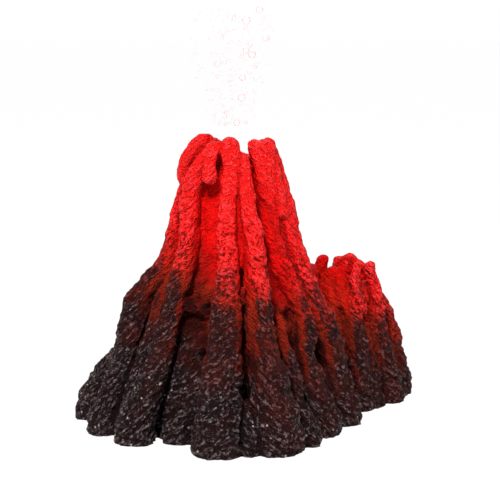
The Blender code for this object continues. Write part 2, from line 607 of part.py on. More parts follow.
def make_stone(parts, stone_material, seal_material):
    """The porous air stone with a rounded top, and the flat seal under it."""
    axis = (*MAIN_AXIS, 0.0)
    low = LEDGE_TOP + GAP
    profile = ring_profile(AIR_ROOM_RADIUS + GAP, STONE_RADIUS - GAP, low, low + SEAL_THICKNESS)
    turned("stone_seal", profile, parts, seal_material, steps=40, closed=True, at=axis)
    shoulder = STONE_HEIGHT - STONE_DOME
    profile = (
        (0.0, STONE_HEIGHT), (0.5 * STONE_RADIUS, STONE_HEIGHT - 0.25 * STONE_DOME),
        (STONE_RADIUS - STONE_CHAMFER, shoulder), (STONE_RADIUS, shoulder - STONE_CHAMFER),
        (STONE_RADIUS, 0.0), (0.0, 0.0),
    )
    at = (*MAIN_AXIS, STONE_BOTTOM)
    turned("air_stone", profile, parts, stone_material, steps=36, at=at)


def main():
    clear_scene()
    parts = new_collection("bubbling_ornament")
    cutters = new_collection("cutters")
    rock = new_material("painted_resin", (0.55, 0.03, 0.03), 0.6)
    rubber = new_material("clear_rubber", (0.75, 0.77, 0.78), 0.35, alpha=0.8)
    black = new_material("black_plastic", (0.02, 0.02, 0.022), 0.4)
    seal = new_material("seal_rubber", (0.05, 0.05, 0.05), 0.7)
    board = new_material("board", (0.03, 0.16, 0.08), 0.45)
    lamp = new_material("red_lamp", (0.8, 0.03, 0.02), 0.15, transmission=0.4)
    chip = new_material("chip", (0.06, 0.06, 0.065), 0.5)
    clear = new_material("clear_plastic", (0.9, 0.9, 0.92), 0.08, transmission=0.9, alpha=0.4)
    steel = new_material("screw_steel", (0.6, 0.6, 0.62), 0.3, metallic=1.0)
    stone = new_material("air_stone", (0.33, 0.36, 0.42), 0.95)
    make_volcano(parts, cutters, rock)
    make_suction_cup(parts, rubber)
    make_case(parts, cutters, black)
    make_inlet(parts, black)
    make_gland(parts, seal)
    make_board(parts, board, lamp, chip)
    make_lens(parts, cutters, clear, seal)
    make_screws(parts, cutters, steel)
    make_stone(parts, stone, seal)


main()
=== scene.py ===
# %% [markdown]
# # A bubbling volcano for an aquarium
# The ornament is a hollow resin casting that stands over a lit air bubbler. The engineering model
# (every solid, joint and fit) is loaded first and stays fixed. This lesson gives it its looks:
# sculpted lava, brushed paint, moulded plastic, clear lens, porous stone, and the studio around it.

# %% Load the fixed frame
import math
import random

import bmesh
import bpy
import numpy as np
from mathutils import Matrix, Vector, noise


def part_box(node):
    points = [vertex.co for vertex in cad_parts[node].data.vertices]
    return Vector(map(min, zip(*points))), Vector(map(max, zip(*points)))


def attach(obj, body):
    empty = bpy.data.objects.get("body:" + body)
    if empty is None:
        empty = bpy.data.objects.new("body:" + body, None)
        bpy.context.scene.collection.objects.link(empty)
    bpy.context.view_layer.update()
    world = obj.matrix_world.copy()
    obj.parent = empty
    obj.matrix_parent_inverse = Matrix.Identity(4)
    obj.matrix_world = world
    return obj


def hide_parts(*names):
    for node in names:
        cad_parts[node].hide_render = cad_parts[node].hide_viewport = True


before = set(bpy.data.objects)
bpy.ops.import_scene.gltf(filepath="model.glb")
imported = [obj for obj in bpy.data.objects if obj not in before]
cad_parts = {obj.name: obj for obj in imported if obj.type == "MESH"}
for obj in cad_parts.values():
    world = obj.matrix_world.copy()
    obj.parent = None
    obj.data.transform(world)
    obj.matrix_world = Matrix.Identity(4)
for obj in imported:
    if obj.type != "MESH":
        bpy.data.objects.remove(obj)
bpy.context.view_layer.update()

MM = 0.001
shell_low, shell_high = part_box("volcano_shell")

# %% [markdown]
# ## Where things stand
# The air stone sits on the main cone's axis, so its box gives that axis. The side cone's place is a
# design value, measured from the main axis.

# %% Axes and sizes
stone_low, stone_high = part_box("air_stone")
MAIN_AXIS = ((stone_low.x + stone_high.x) / 2, (stone_low.y + stone_high.y) / 2)
SIDE_FROM_MAIN = (57.5 * MM, 35 * MM)
SIDE_AXIS = (MAIN_AXIS[0] + SIDE_FROM_MAIN[0], MAIN_AXIS[1] + SIDE_FROM_MAIN[1])
SHELL_HEIGHT = 139 * MM
SHELL_REACH = 64 * MM
SIDE_HEIGHT = 75 * MM
SIDE_REACH = 33 * MM
print("main axis", MAIN_AXIS, "side axis", SIDE_AXIS)

# %% [markdown]
# ## Camera
# A catalogue view: the camera stands a little above the ornament and looks slightly down on it with
# a long lens, so the base is seen from above and both craters nearly from the side.

# %% Camera
CAMERA_DISTANCE = 650 * MM
CAMERA_HEIGHT = 190 * MM
AIM_HEIGHT = 83 * MM
CAMERA_ASIDE = 9 * MM
LENS_MM = 100.5
SENSOR_MM = 36.0


def make_camera():
    data = bpy.data.cameras.new("camera")
    data.lens = LENS_MM
    data.sensor_width = SENSOR_MM
    camera = bpy.data.objects.new("camera", data)
    bpy.context.scene.collection.objects.link(camera)
    camera.location = (MAIN_AXIS[0] + CAMERA_ASIDE, MAIN_AXIS[1] - CAMERA_DISTANCE, CAMERA_HEIGHT)
    down = math.atan((CAMERA_HEIGHT - AIM_HEIGHT) / CAMERA_DISTANCE)
    camera.rotation_euler = (math.pi / 2 - down, 0.0, 0.0)
    bpy.context.scene.camera = camera
    return camera


camera = make_camera()
bpy.context.scene.view_settings.view_transform = "Standard"
print("camera at", tuple(round(v, 3) for v in camera.location))

# %% [markdown]
# ## Node helpers
# Every finish below is a node tree. Small helpers keep the cells readable: they add a node, do sums,
# map one span of values onto another, mix two colours, and start a material.

# %% Node helpers
def add(tree, kind, label="", **values):
    node = tree.nodes.new(kind)
    node.label = label
    for key, value in values.items():
        setattr(node, key, value)
    return node


def maths(tree, operation, first, second=None):
    """A Math node; each input is a socket or a number."""
    node = add(tree, "ShaderNodeMath", operation=operation)
    for socket, value in zip(node.inputs, (first, second)):
        if value is None:
            continue
        if isinstance(value, (int, float)):
            socket.default_value = value
        else:
            tree.links.new(value, socket)
    return node.outputs[0]


def remap(tree, value, low, high, to_low=0.0, to_high=1.0):
    """Smooth step of a value from one span to another."""
    node = add(tree, "ShaderNodeMapRange", interpolation_type="SMOOTHSTEP")
    tree.links.new(value, node.inputs["Value"])
    for name, number in zip(("From Min", "From Max", "To Min", "To Max"), (low, high, to_low, to_high)):
        node.inputs[name].default_value = number
    return node.outputs["Result"]


def blend_colour(tree, mask, first, second):
    """Mix two colours, each a socket or an (r, g, b) value, by a mask."""
    node = add(tree, "ShaderNodeMix", data_type="RGBA", clamp_factor=True)
    tree.links.new(mask, node.inputs[0])
    for socket, value in ((node.inputs[6], first), (node.inputs[7], second)):
        if isinstance(value, tuple):
            socket.default_value = (*value, 1.0)
        else:
            tree.links.new(value, socket)
    return node.outputs[2]


def new_material(name):
    material = bpy.data.materials.new(name)
    material.use_nodes = True
    tree = material.node_tree
    return material, tree, tree.nodes["Principled BSDF"]


# %% [markdown]
# ## Shared effects
# A speckle breaks up every finish here: paint, plastic, rubber and metal. It is built once as a node
# group with its own inputs, and each material sets its own scale and contrast.

# %% Speckle group
def start_group(name, inputs, outputs):
    group = bpy.data.node_groups.new(name, "ShaderNodeTree")
    for label, kind, value in inputs:
        socket = group.interface.new_socket(label, in_out="INPUT", socket_type=kind)
        socket.default_value = value
    for label, kind in outputs:
        group.interface.new_socket(label, in_out="OUTPUT", socket_type=kind)
    entry = group.nodes.new("NodeGroupInput")
    leave = group.nodes.new("NodeGroupOutput")
    return group, entry, leave


def make_speckle_group():
    group, entry, leave = start_group(
        "speckle",
        [("Scale", "NodeSocketFloat", 600.0), ("Low", "NodeSocketFloat", 0.35),
         ("High", "NodeSocketFloat", 0.65)],
        [("Mask", "NodeSocketFloat")],
    )
    place = add(group, "ShaderNodeTexCoord")
    grit = add(group, "ShaderNodeTexNoise", "grit")
    grit.inputs["Detail"].default_value = 5.0
    grit.inputs["Roughness"].default_value = 0.6
    group.links.new(place.outputs["Object"], grit.inputs["Vector"])
    group.links.new(entry.outputs["Scale"], grit.inputs["Scale"])
    span = add(group, "ShaderNodeMapRange", interpolation_type="SMOOTHSTEP")
    group.links.new(grit.outputs["Fac"], span.inputs["Value"])
    group.links.new(entry.outputs["Low"], span.inputs["From Min"])
    group.links.new(entry.outputs["High"], span.inputs["From Max"])
    group.links.new(span.outputs["Result"], leave.inputs["Mask"])
    return group


SPECKLE = make_speckle_group()


def speckle(tree, scale, low=0.35, high=0.65):
    node = add(tree, "ShaderNodeGroup", "speckle")
    node.node_tree = SPECKLE
    for name, value in (("Scale", scale), ("Low", low), ("High", high)):
        node.inputs[name].default_value = value
    return node.outputs["Mask"]


print("shared groups:", [group.name for group in bpy.data.node_groups])

# %% [markdown]
# ## Lava flows
# A caster sculpts the master from strands of clay laid down the cone, so the mesh is made the same
# way. Each flow is a list of stations from the rim to the floor: (share of the height, azimuth in
# degrees from the front towards the right, share of the reach, girth as a share of the reach).

# %% Stations of every flow
MAIN_FLOWS = {
    "left_drip": ((0.970, -52, 0.30, 0.07), (0.93, -72, 0.35, 0.072), (0.87, -88, 0.395, 0.075),
                  (0.845, -90, 0.40, 0.068)),
    "left": ((0.90, -80, 0.33, 0.08), (0.74, -77, 0.44, 0.10), (0.57, -74, 0.56, 0.11),
             (0.50, -80, 0.65, 0.11), (0.44, -82, 0.77, 0.11), (0.37, -80, 0.83, 0.105),
             (0.25, -77, 0.89, 0.10), (0.13, -75, 0.99, 0.11), (0.04, -72, 1.09, 0.13)),
    "left_low": ((0.34, -86, 0.78, 0.10), (0.25, -88, 0.87, 0.12), (0.16, -92, 1.03, 0.14),
                 (0.08, -94, 1.14, 0.15), (0.03, -96, 1.19, 0.15)),
    "left_front": ((0.95, -26, 0.31, 0.065), (0.90, -44, 0.355, 0.07), (0.80, -58, 0.41, 0.08),
                   (0.63, -46, 0.50, 0.085), (0.45, -48, 0.62, 0.085), (0.27, -49, 0.77, 0.095),
                   (0.12, -50, 0.92, 0.12), (0.03, -52, 1.01, 0.15)),
    "right_knob": ((0.955, 48, 0.285, 0.055), (0.90, 47, 0.33, 0.05), (0.80, 46, 0.38, 0.045)),
    "right_bump": ((0.955, 76, 0.34, 0.06), (0.86, 66, 0.40, 0.06), (0.74, 62, 0.47, 0.05)),
    "short_drip": ((0.95, -29, 0.32, 0.05), (0.90, -27, 0.365, 0.05), (0.86, -26, 0.385, 0.055)),
    "sill": ((0.44, -37, 0.52, 0.08), (0.43, -22, 0.515, 0.08), (0.44, -8, 0.54, 0.08)),
    "apron": ((0.20, -24, 0.50, 0.07), (0.11, -30, 0.64, 0.09), (0.03, -34, 0.76, 0.12)),
    "front": ((0.955, -1, 0.31, 0.074), (0.88, 1, 0.35, 0.066), (0.78, -2, 0.41, 0.065),
              (0.60, -2, 0.55, 0.085), (0.36, -3, 0.74, 0.12), (0.17, -5, 0.89, 0.155),
              (0.04, -5.5, 0.99, 0.19)),
    "front_right": ((0.915, 18, 0.305, 0.055), (0.80, 20, 0.40, 0.065), (0.60, 22, 0.56, 0.09),
                    (0.36, 21, 0.72, 0.105), (0.18, 23, 0.88, 0.15), (0.04, 24, 0.99, 0.21)),
    "toe_web": ((0.12, 10, 0.80, 0.09), (0.03, 9, 0.93, 0.11)),
    "right_web": ((0.10, 43, 0.78, 0.10), (0.03, 43, 0.90, 0.12)),
    "left_trough": ((0.60, -62, 0.42, 0.07), (0.45, -65, 0.60, 0.08), (0.30, -64, 0.72, 0.09),
                    (0.15, -63, 0.85, 0.10), (0.04, -62, 0.94, 0.10)),
    "thin": ((0.42, 40, 0.55, 0.035), (0.34, 40, 0.64, 0.05), (0.25, 40, 0.72, 0.06),
             (0.10, 44, 0.78, 0.07)),
    "right": ((0.938, 64, 0.355, 0.085), (0.88, 58, 0.375, 0.075), (0.70, 54, 0.43, 0.08),
              (0.56, 57, 0.52, 0.085), (0.42, 67, 0.63, 0.085), (0.24, 62, 0.73, 0.10),
              (0.12, 62, 0.81, 0.12), (0.03, 64, 0.89, 0.145)),
    "right_far": ((0.93, 84, 0.35, 0.085), (0.80, 76, 0.45, 0.09), (0.62, 72, 0.56, 0.10),
                  (0.44, 78, 0.69, 0.11), (0.32, 85, 0.81, 0.12), (0.18, 86, 0.88, 0.12),
                  (0.04, 86, 0.975, 0.14)),
    "saddle": ((0.90, 112, 0.32, 0.08), (0.68, 108, 0.46, 0.09), (0.45, 112, 0.70, 0.13),
               (0.25, 112, 0.85, 0.14), (0.04, 110, 0.95, 0.16)),
    "back_right": ((0.885, 138, 0.34, 0.085), (0.74, 142, 0.43, 0.09), (0.50, 146, 0.61, 0.11),
                   (0.25, 148, 0.82, 0.14), (0.04, 150, 0.97, 0.18)),
    "back": ((0.88, 176, 0.33, 0.085), (0.75, 173, 0.42, 0.09), (0.50, 176, 0.60, 0.11),
             (0.25, 181, 0.80, 0.14), (0.04, 182, 0.97, 0.19)),
    "back_left": ((0.935, -142, 0.33, 0.09), (0.75, -149, 0.43, 0.09), (0.52, -150, 0.60, 0.11),
                  (0.25, -149, 0.82, 0.14), (0.04, -146, 0.98, 0.18)),
    "left_back": ((0.935, -106, 0.32, 0.08), (0.74, -112, 0.43, 0.09), (0.50, -116, 0.64, 0.12),
                  (0.30, -118, 0.82, 0.14), (0.12, -119, 0.97, 0.16), (0.03, -120, 1.06, 0.18)),
}
SIDE_FLOWS = {
    "right": ((0.80, 92, 0.44, 0.13), (0.70, 102, 0.62, 0.13), (0.55, 106, 0.79, 0.13),
              (0.30, 110, 0.96, 0.13), (0.12, 115, 1.12, 0.15), (0.03, 119, 1.20, 0.17)),
    "skirt": ((0.40, 104, 0.76, 0.14), (0.24, 108, 0.88, 0.16), (0.12, 112, 1.00, 0.18),
              (0.03, 115, 1.07, 0.20)),
    "recess": ((0.62, 78, 0.56, 0.16), (0.42, 82, 0.68, 0.20), (0.20, 90, 0.80, 0.24),
               (0.03, 96, 0.90, 0.28)),
    "front": ((0.76, -8, 0.40, 0.12), (0.68, 4, 0.50, 0.14), (0.48, 16, 0.62, 0.15),
              (0.25, 20, 0.66, 0.18), (0.03, 21, 0.70, 0.23)),
    "left": ((0.86, -98, 0.50, 0.13), (0.72, -84, 0.56, 0.16), (0.40, -64, 0.66, 0.2)),
    "left_front": ((0.84, -62, 0.42, 0.12), (0.68, -40, 0.50, 0.14), (0.35, -20, 0.58, 0.17)),
    "bridge": ((0.88, -78, 0.74, 0.15), (0.70, -70, 0.80, 0.19), (0.30, -62, 0.80, 0.25)),
    "knob_a": ((0.950, -97, 0.48, 0.105), (0.88, -97, 0.52, 0.11), (0.76, -94, 0.56, 0.13)),
    "knob_b": ((0.948, -14, 0.30, 0.062), (0.86, -24, 0.38, 0.085), (0.70, -14, 0.46, 0.11)),
    "knob_c": ((0.945, 29, 0.33, 0.060), (0.86, 20, 0.38, 0.085), (0.66, 26, 0.50, 0.11)),
    "knob_d": ((0.915, 84, 0.45, 0.105), (0.82, 86, 0.50, 0.11), (0.66, 80, 0.60, 0.11)),
    "gap_fill": ((0.885, -52, 0.40, 0.11), (0.62, -62, 0.56, 0.16)),
    "back_right": ((0.90, 136, 0.40, 0.13), (0.60, 140, 0.66, 0.15), (0.28, 146, 0.88, 0.19),
                   (0.03, 150, 1.0, 0.25)),
    "back": ((0.93, 170, 0.38, 0.14), (0.60, 176, 0.62, 0.15), (0.28, -178, 0.84, 0.19),
             (0.03, -176, 0.98, 0.25)),
    "back_left": ((0.92, -158, 0.38, 0.13), (0.60, -150, 0.60, 0.15), (0.28, -144, 0.82, 0.20),
                  (0.03, -140, 0.96, 0.25)),
}
# The solid cone under the flows: (share of the height, radius as a share of the reach)
MAIN_CORE = ((0.92, 0.20), (0.80, 0.26), (0.60, 0.37), (0.40, 0.49), (0.20, 0.62), (0.0, 0.70))
SIDE_CORE = ((0.84, 0.30), (0.60, 0.42), (0.30, 0.54), (0.0, 0.64))
print(len(MAIN_FLOWS), "main flows,", len(SIDE_FLOWS), "side flows")


# %% [markdown]
# A strand is a Bezier curve through its stations, thick or thin as each one says, with a round lobe
# at both ends. A flow that reaches the floor goes on a little below it, so that its toe is cut flat.

# %% Turn a flow's stations into a strand
TOE_SHARE = 0.05
TOE_TUCK = 0.98
TOE_DROP = 1.2
MERGE = 0.01 * MM
LOBE_SEGMENTS = 20
LOBE_RINGS = 12
CORE_FOOT = 8 * MM
CORE_LAP = 0.1 * MM
CORE_SEGMENTS = 72


def polar(radius, azimuth, height):
    turn = math.radians(azimuth)
    return Vector((radius * math.sin(turn), -radius * math.cos(turn), height))


def strand_line(flow, height, reach):
    """Centre points and girths of a flow, in metres: its crest lies at the stated reach."""
    line = []
    for rise, azimuth, out, girth in flow:
        thickness = girth * reach
        line.append((polar(out * reach - thickness, azimuth, rise * height), thickness))
    foot, thickness = line[-1]
    if flow[-1][0] < TOE_SHARE:
        below = Vector((TOE_TUCK * foot.x, TOE_TUCK * foot.y, -TOE_DROP * thickness))
        line.append((below, thickness))
    return line


def strand_shape(line):
    """A tube of changing girth along the line, with a round lobe at each end."""
    curve = bpy.data.curves.new("strand", "CURVE")
    curve.dimensions = "3D"
    curve.bevel_depth = 1.0
    curve.bevel_resolution = 5
    curve.use_fill_caps = True
    spline = curve.splines.new("BEZIER")
    spline.resolution_u = 8
    spline.bezier_points.add(len(line) - 1)
    for point, (centre, thickness) in zip(spline.bezier_points, line):
        point.co = centre
        point.radius = thickness
        point.handle_left_type = "AUTO"
        point.handle_right_type = "AUTO"
    holder = bpy.data.objects.new("strand", curve)
    bpy.context.scene.collection.objects.link(holder)
    bpy.context.view_layer.update()
    evaluated = holder.evaluated_get(bpy.context.evaluated_depsgraph_get())
    tube = bpy.data.meshes.new_from_object(evaluated)
    shape = bmesh.new()
    shape.from_mesh(tube)
    bmesh.ops.remove_doubles(shape, verts=shape.verts, dist=MERGE)
    for centre, thickness in (line[0], line[-1]):
        lobe = bmesh.ops.create_uvsphere(shape, u_segments=LOBE_SEGMENTS, v_segments=LOBE_RINGS,
                                         radius=thickness)
        bmesh.ops.translate(shape, verts=lobe["verts"], vec=centre)
    bpy.data.objects.remove(holder, do_unlink=True)
    bpy.data.meshes.remove(tube)
    return shape


def core_shape(profile, height, reach):
    """The solid cone under the strands."""
    rings = [(out * reach, rise * height) for rise, out in profile]
    rings.append((rings[-1][0], -CORE_FOOT))
    shape = bmesh.new()
    for (upper_radius, upper), (lower_radius, lower) in zip(rings, rings[1:]):
        made = bmesh.ops.create_cone(shape, cap_ends=True, segments=CORE_SEGMENTS, radius1=lower_radius,
                                     radius2=upper_radius, depth=upper - lower + CORE_LAP)
        bmesh.ops.translate(shape, verts=made["verts"], vec=(0.0, 0.0, (upper + lower) / 2))
    return shape


def pour_into(whole, shape, axis):
    bmesh.ops.translate(shape, verts=shape.verts, vec=(axis[0], axis[1], 0.0))
    piece = bpy.data.meshes.new("piece")
    shape.to_mesh(piece)
    shape.free()
    whole.from_mesh(piece)
    bpy.data.meshes.remove(piece)


def laid_strands():
    whole = bmesh.new()
    cones = (
        (MAIN_FLOWS, MAIN_CORE, SHELL_HEIGHT, SHELL_REACH, MAIN_AXIS),
        (SIDE_FLOWS, SIDE_CORE, SIDE_HEIGHT, SIDE_REACH, SIDE_AXIS),
    )
    for flows, core, height, reach, axis in cones:
        pour_into(whole, core_shape(core, height, reach), axis)
        for flow in flows.values():
            pour_into(whole, strand_shape(strand_line(flow, height, reach)), axis)
    mesh = bpy.data.meshes.new("volcano")
    whole.to_mesh(mesh)
    whole.free()
    return mesh


# %% [markdown]
# ## One skin over all strands
# Overlapping tubes become one casting with a voxel remesh: it keeps only the outer surface and lays
# an even net of small faces over it, which the sculpting below needs. A few smoothing passes fill
# the sharp valleys where strands meet, as clay would.

# %% Fuse
SKIN_GRAIN = 0.8 * MM
SKIN_PASSES = 2


def apply_modifiers(thing):
    bpy.context.view_layer.update()
    evaluated = thing.evaluated_get(bpy.context.evaluated_depsgraph_get())
    baked = bpy.data.meshes.new_from_object(evaluated)
    thing.modifiers.clear()
    old = thing.data
    thing.data = baked
    bpy.data.meshes.remove(old)


def fuse(thing, grain, passes):
    skin = thing.modifiers.new("one skin", "REMESH")
    skin.mode = "VOXEL"
    skin.voxel_size = grain
    soften = thing.modifiers.new("soften", "SMOOTH")
    soften.iterations = passes
    apply_modifiers(thing)


volcano = bpy.data.objects.new("volcano", laid_strands())
bpy.context.scene.collection.objects.link(volcano)
fuse(volcano, SKIN_GRAIN, SKIN_PASSES)
print("fused skin:", len(volcano.data.vertices), "points")

# %% [markdown]
# ## Crumpled lava skin
# The sculpting moves the mesh's points along their normals, and in the pockets towards the axis.
# Blender keeps coordinates in flat lists, which NumPy reads and writes in one go, so these helpers
# turn them into arrays of rows.

# %% Read and write points as arrays
SEED_SHIFT = (17.3, -9.1, 5.7)


def read_points(mesh):
    flat = np.empty(len(mesh.vertices) * 3)
    mesh.vertices.foreach_get("co", flat)
    return flat.reshape(-1, 3)


def read_normals(mesh):
    flat = np.empty(len(mesh.vertices) * 3)
    mesh.vertex_normals.foreach_get("vector", flat)
    return flat.reshape(-1, 3)


def write_points(mesh, points):
    mesh.vertices.foreach_set("co", points.astype(np.float32).ravel())
    mesh.update()


def smoothed_points(thing, passes):
    """Where the points would be after this many smoothing passes."""
    soften = thing.modifiers.new("probe", "SMOOTH")
    soften.iterations = passes
    bpy.context.view_layer.update()
    evaluated = thing.evaluated_get(bpy.context.evaluated_depsgraph_get())
    points = read_points(evaluated.data)
    thing.modifiers.remove(soften)
    return points


def noise_at(points, size, seed):
    """Signed noise of the stated feature size at each point."""
    shift = Vector([seed * part for part in SEED_SHIFT])
    return np.array([noise.noise(Vector(point) / size + shift) for point in points])


def distance_from(points, axis):
    """Distance of each point from an upright axis."""
    return np.hypot(points[:, 0] - axis[0], points[:, 1] - axis[1])


# %% [markdown]
# Cooling lava breaks into scales that lie over each other. They come from Voronoi cells in
# stretched space: short up the slope and long across it. The height used for sampling changes with
# the distance from the axis, so each scale droops over its ridge, and noise bends the rows.

# %% Overlapping scales
DRAPE = 0.35
SLANT = 0.5
STRETCH = 2.8
WARP_REACH = 0.55
WARP_SIZE = 2.0
SEED_STEP = 17.3
CELL_REACH = 0.8
SIDE_LEAD = 24 * MM


def scales(points, pitch, seed):
    """Overlapping scales, long sideways and short in height: 1 in a scale's middle, 0 in the creases."""
    sideways = np.abs(points[:, 0] - MAIN_AXIS[0])
    outwards = np.minimum(distance_from(points, MAIN_AXIS), distance_from(points, SIDE_AXIS) + SIDE_LEAD)
    droop = DRAPE * outwards + SLANT * sideways
    place = np.column_stack((points[:, 0] / STRETCH, points[:, 1] / STRETCH, points[:, 2] + droop)) / pitch
    for axis in range(3):
        place[:, axis] += WARP_REACH * noise_at(points, WARP_SIZE * pitch, seed + axis)
    place += seed * SEED_STEP
    gaps = np.array([noise.voronoi(Vector(spot))[0][0] for spot in place])
    return 1.0 - np.clip(gaps / CELL_REACH, 0.0, 1.0)


# %% [markdown]
# Deep holes stay between the flows where lava has run past them. Each is a spot on the cone that is
# pressed in towards the axis, most in its middle and not at all at its edge.

# %% Pockets
# Hollows pressed into the main cone: (share of the height, azimuth, radius, depth)
POCKETS = (
    (0.56, -22, 8 * MM, 4 * MM), (0.435, -18, 4.5 * MM, 5 * MM), (0.28, -20, 5 * MM, 3.5 * MM),
    (0.455, 41, 7.5 * MM, 5 * MM), (0.75, 36, 3.5 * MM, 2 * MM), (0.66, 34, 3 * MM, 2 * MM),
    (0.58, 37, 4.5 * MM, 2.5 * MM), (0.26, 68, 8 * MM, 3 * MM), (0.37, -25, 10 * MM, 4 * MM),
    (0.26, -25, 9 * MM, 3.5 * MM), (0.33, 41, 8 * MM, 3 * MM),
)


def pocket_pull(points):
    """How far each point goes in towards the main axis, and in which direction."""
    out = points[:, :2] - np.array(MAIN_AXIS)
    radius = np.hypot(out[:, 0], out[:, 1])
    azimuth = np.degrees(np.arctan2(out[:, 0], -out[:, 1]))
    pull = np.zeros(len(points))
    for rise, turn, size, depth in POCKETS:
        aside = np.radians(azimuth - turn) * radius
        away = np.hypot(aside, points[:, 2] - rise * SHELL_HEIGHT) / size
        pull += depth * np.clip(1.0 - away ** 2, 0.0, 1.0) ** 2
    direction = np.zeros_like(points)
    direction[:, :2] = -out / np.maximum(radius, 1 * MM)[:, None]
    return direction * pull[:, None]


# %% [markdown]
# Now everything is added up: broad lumps, scales, grit, deeper valleys and the pockets. The upper
# rock and the bottoms of its valleys are calmer, as the lava there is still fluid.

# %% Sculpt
LUMP_SIZE = 7 * MM
LUMP_DEPTH = 1.3 * MM
SCALE_PITCH = 3.1 * MM
SCALE_DEPTH = 1.9 * MM
GRIT_SIZE = 1.9 * MM
GRIT_DEPTH = 0.7 * MM
VALLEY_GAIN = 1.3
VALLEY_LIMIT = 2.5 * MM
VALLEY_PASSES = 60
CALM_VALLEY = 0.9 * MM
CALM_START = 25 * MM
CALM_SPAN = 95 * MM
CALM_RIM = 0.72
PATCH_OF_SCALES = 5 * MM
LUMP_SEED = 1
SCALE_SEED = 2
GRIT_SEED = 3
STRENGTH_SEED = 4


def sculpt(thing):
    mesh = thing.data
    points = read_points(mesh)
    normals = read_normals(mesh)
    hollowness = np.einsum("ij,ij->i", smoothed_points(thing, VALLEY_PASSES) - points, normals)
    smooth_valley = np.clip(hollowness / CALM_VALLEY, 0.0, 1.0)
    rise = np.clip((points[:, 2] - CALM_START) / CALM_SPAN, 0.0, 1.0)
    calm = (1.0 - 0.7 * smooth_valley * rise) * (1.1 - 0.75 * rise)
    on_side = distance_from(points, SIDE_AXIS) < SIDE_REACH
    calm *= np.where(on_side & (points[:, 2] > CALM_RIM * SIDE_HEIGHT), 0.5, 1.0)
    lumps = noise_at(points, LUMP_SIZE, LUMP_SEED)
    strength = 0.65 + 0.9 * noise_at(points, PATCH_OF_SCALES, STRENGTH_SEED)
    sheets = (scales(points, SCALE_PITCH, SCALE_SEED) - 0.5) * np.clip(strength, 0.15, 1.0)
    grit = noise_at(points, GRIT_SIZE, GRIT_SEED)
    depth = LUMP_DEPTH * lumps * (1.0 - 0.45 * rise) + calm * (SCALE_DEPTH * sheets + GRIT_DEPTH * grit)
    depth -= VALLEY_GAIN * np.clip(hollowness, 0.0, VALLEY_LIMIT)
    write_points(mesh, points + normals * depth[:, None] + pocket_pull(points))
    return depth


depth = sculpt(volcano)
print("sculpted from", round(depth.min() / MM, 2), "to", round(depth.max() / MM, 2), "mm")

# %% [markdown]
# ## Cut the foot and the hollow
# The casting is hollow so that it fits over the bubbler, with a throat up to the main crater, a
# notch at the back for the hose, and a blind bowl in the side cone. The cutters are turned profiles
# and blocks, as in the engineering model.

# %% Cutters
NOTCH_WIDTH = 15 * MM
NOTCH_HEIGHT = 9 * MM
NOTCH_LENGTH = 90 * MM
NOTCH_START = 19 * MM
ROOM_RADIUS = 38 * MM
SLAB_SIDE = 300 * MM
SLAB_DEPTH = 40 * MM
PAST = 4 * MM
FOOT_PAST = 5 * MM
TURN_STEPS = 72
BOWL_STEPS = 36


def turned(name, profile, steps):
    """A solid of revolution about Z from (radius, height) points, listed down the outer side."""
    mesh = bpy.data.meshes.new(name)
    edges = [(i, i + 1) for i in range(len(profile) - 1)]
    mesh.from_pydata([(radius, 0.0, height) for radius, height in profile], edges, [])
    thing = bpy.data.objects.new(name, mesh)
    bpy.context.scene.collection.objects.link(thing)
    screw = thing.modifiers.new("turn", "SCREW")
    screw.steps = steps
    screw.render_steps = steps
    screw.use_merge_vertices = True
    screw.merge_threshold = MERGE
    apply_modifiers(thing)
    return thing


def box_shape(name, size, at):
    mesh = bpy.data.meshes.new(name)
    shape = bmesh.new()
    bmesh.ops.create_cube(shape, size=1.0)
    bmesh.ops.scale(shape, vec=size, verts=shape.verts)
    bmesh.ops.translate(shape, vec=at, verts=shape.verts)
    shape.to_mesh(mesh)
    shape.free()
    thing = bpy.data.objects.new(name, mesh)
    bpy.context.scene.collection.objects.link(thing)
    return thing


def cut(thing, tool):
    step = thing.modifiers.new("cut", "BOOLEAN")
    step.operation = "DIFFERENCE"
    step.solver = "MANIFOLD"
    step.object = tool
    apply_modifiers(thing)
    bpy.data.objects.remove(tool, do_unlink=True)


def hollow_tool():
    top = SHELL_HEIGHT
    profile = (
        (0.0, top + PAST), (11.5 * MM, top + PAST), (11.5 * MM, top - 5 * MM),
        (7 * MM, top - 15 * MM), (7 * MM, top - 24 * MM), (0.26 * SHELL_REACH, 0.55 * top),
        (0.39 * SHELL_REACH, 0.36 * top), (29.6 * MM, 29.3 * MM), (ROOM_RADIUS, 19 * MM),
        (ROOM_RADIUS, -FOOT_PAST), (0.0, -FOOT_PAST),
    )
    tool = turned("hollow", profile, TURN_STEPS)
    tool.location = (*MAIN_AXIS, 0.0)
    return tool


def side_bowl_tool():
    top = SIDE_HEIGHT
    profile = (
        (0.0, top + PAST), (5.5 * MM, top + PAST), (5.5 * MM, top - 8 * MM),
        (2.75 * MM, top - 12 * MM), (0.0, top - 13 * MM),
    )
    tool = turned("side_bowl", profile, BOWL_STEPS)
    tool.location = (*SIDE_AXIS, 0.0)
    return tool


floor_slab = box_shape("floor_slab", (SLAB_SIDE, SLAB_SIDE, SLAB_DEPTH), (0.0, 0.0, -SLAB_DEPTH / 2))
notch_middle = MAIN_AXIS[1] + NOTCH_START + NOTCH_LENGTH / 2
notch_size = (NOTCH_WIDTH, NOTCH_LENGTH, 2 * NOTCH_HEIGHT)
notch = box_shape("notch", notch_size, (MAIN_AXIS[0], notch_middle, 0.0))
for tool in (floor_slab, hollow_tool(), notch, side_bowl_tool()):
    cut(volcano, tool)
print("after the cuts:", len(volcano.data.vertices), "points,", len(volcano.data.polygons), "faces")

# %% [markdown]
# The sculpting can push the skin past the box of the engineering model. That box is fixed, so any
# point outside it is moved back onto it.

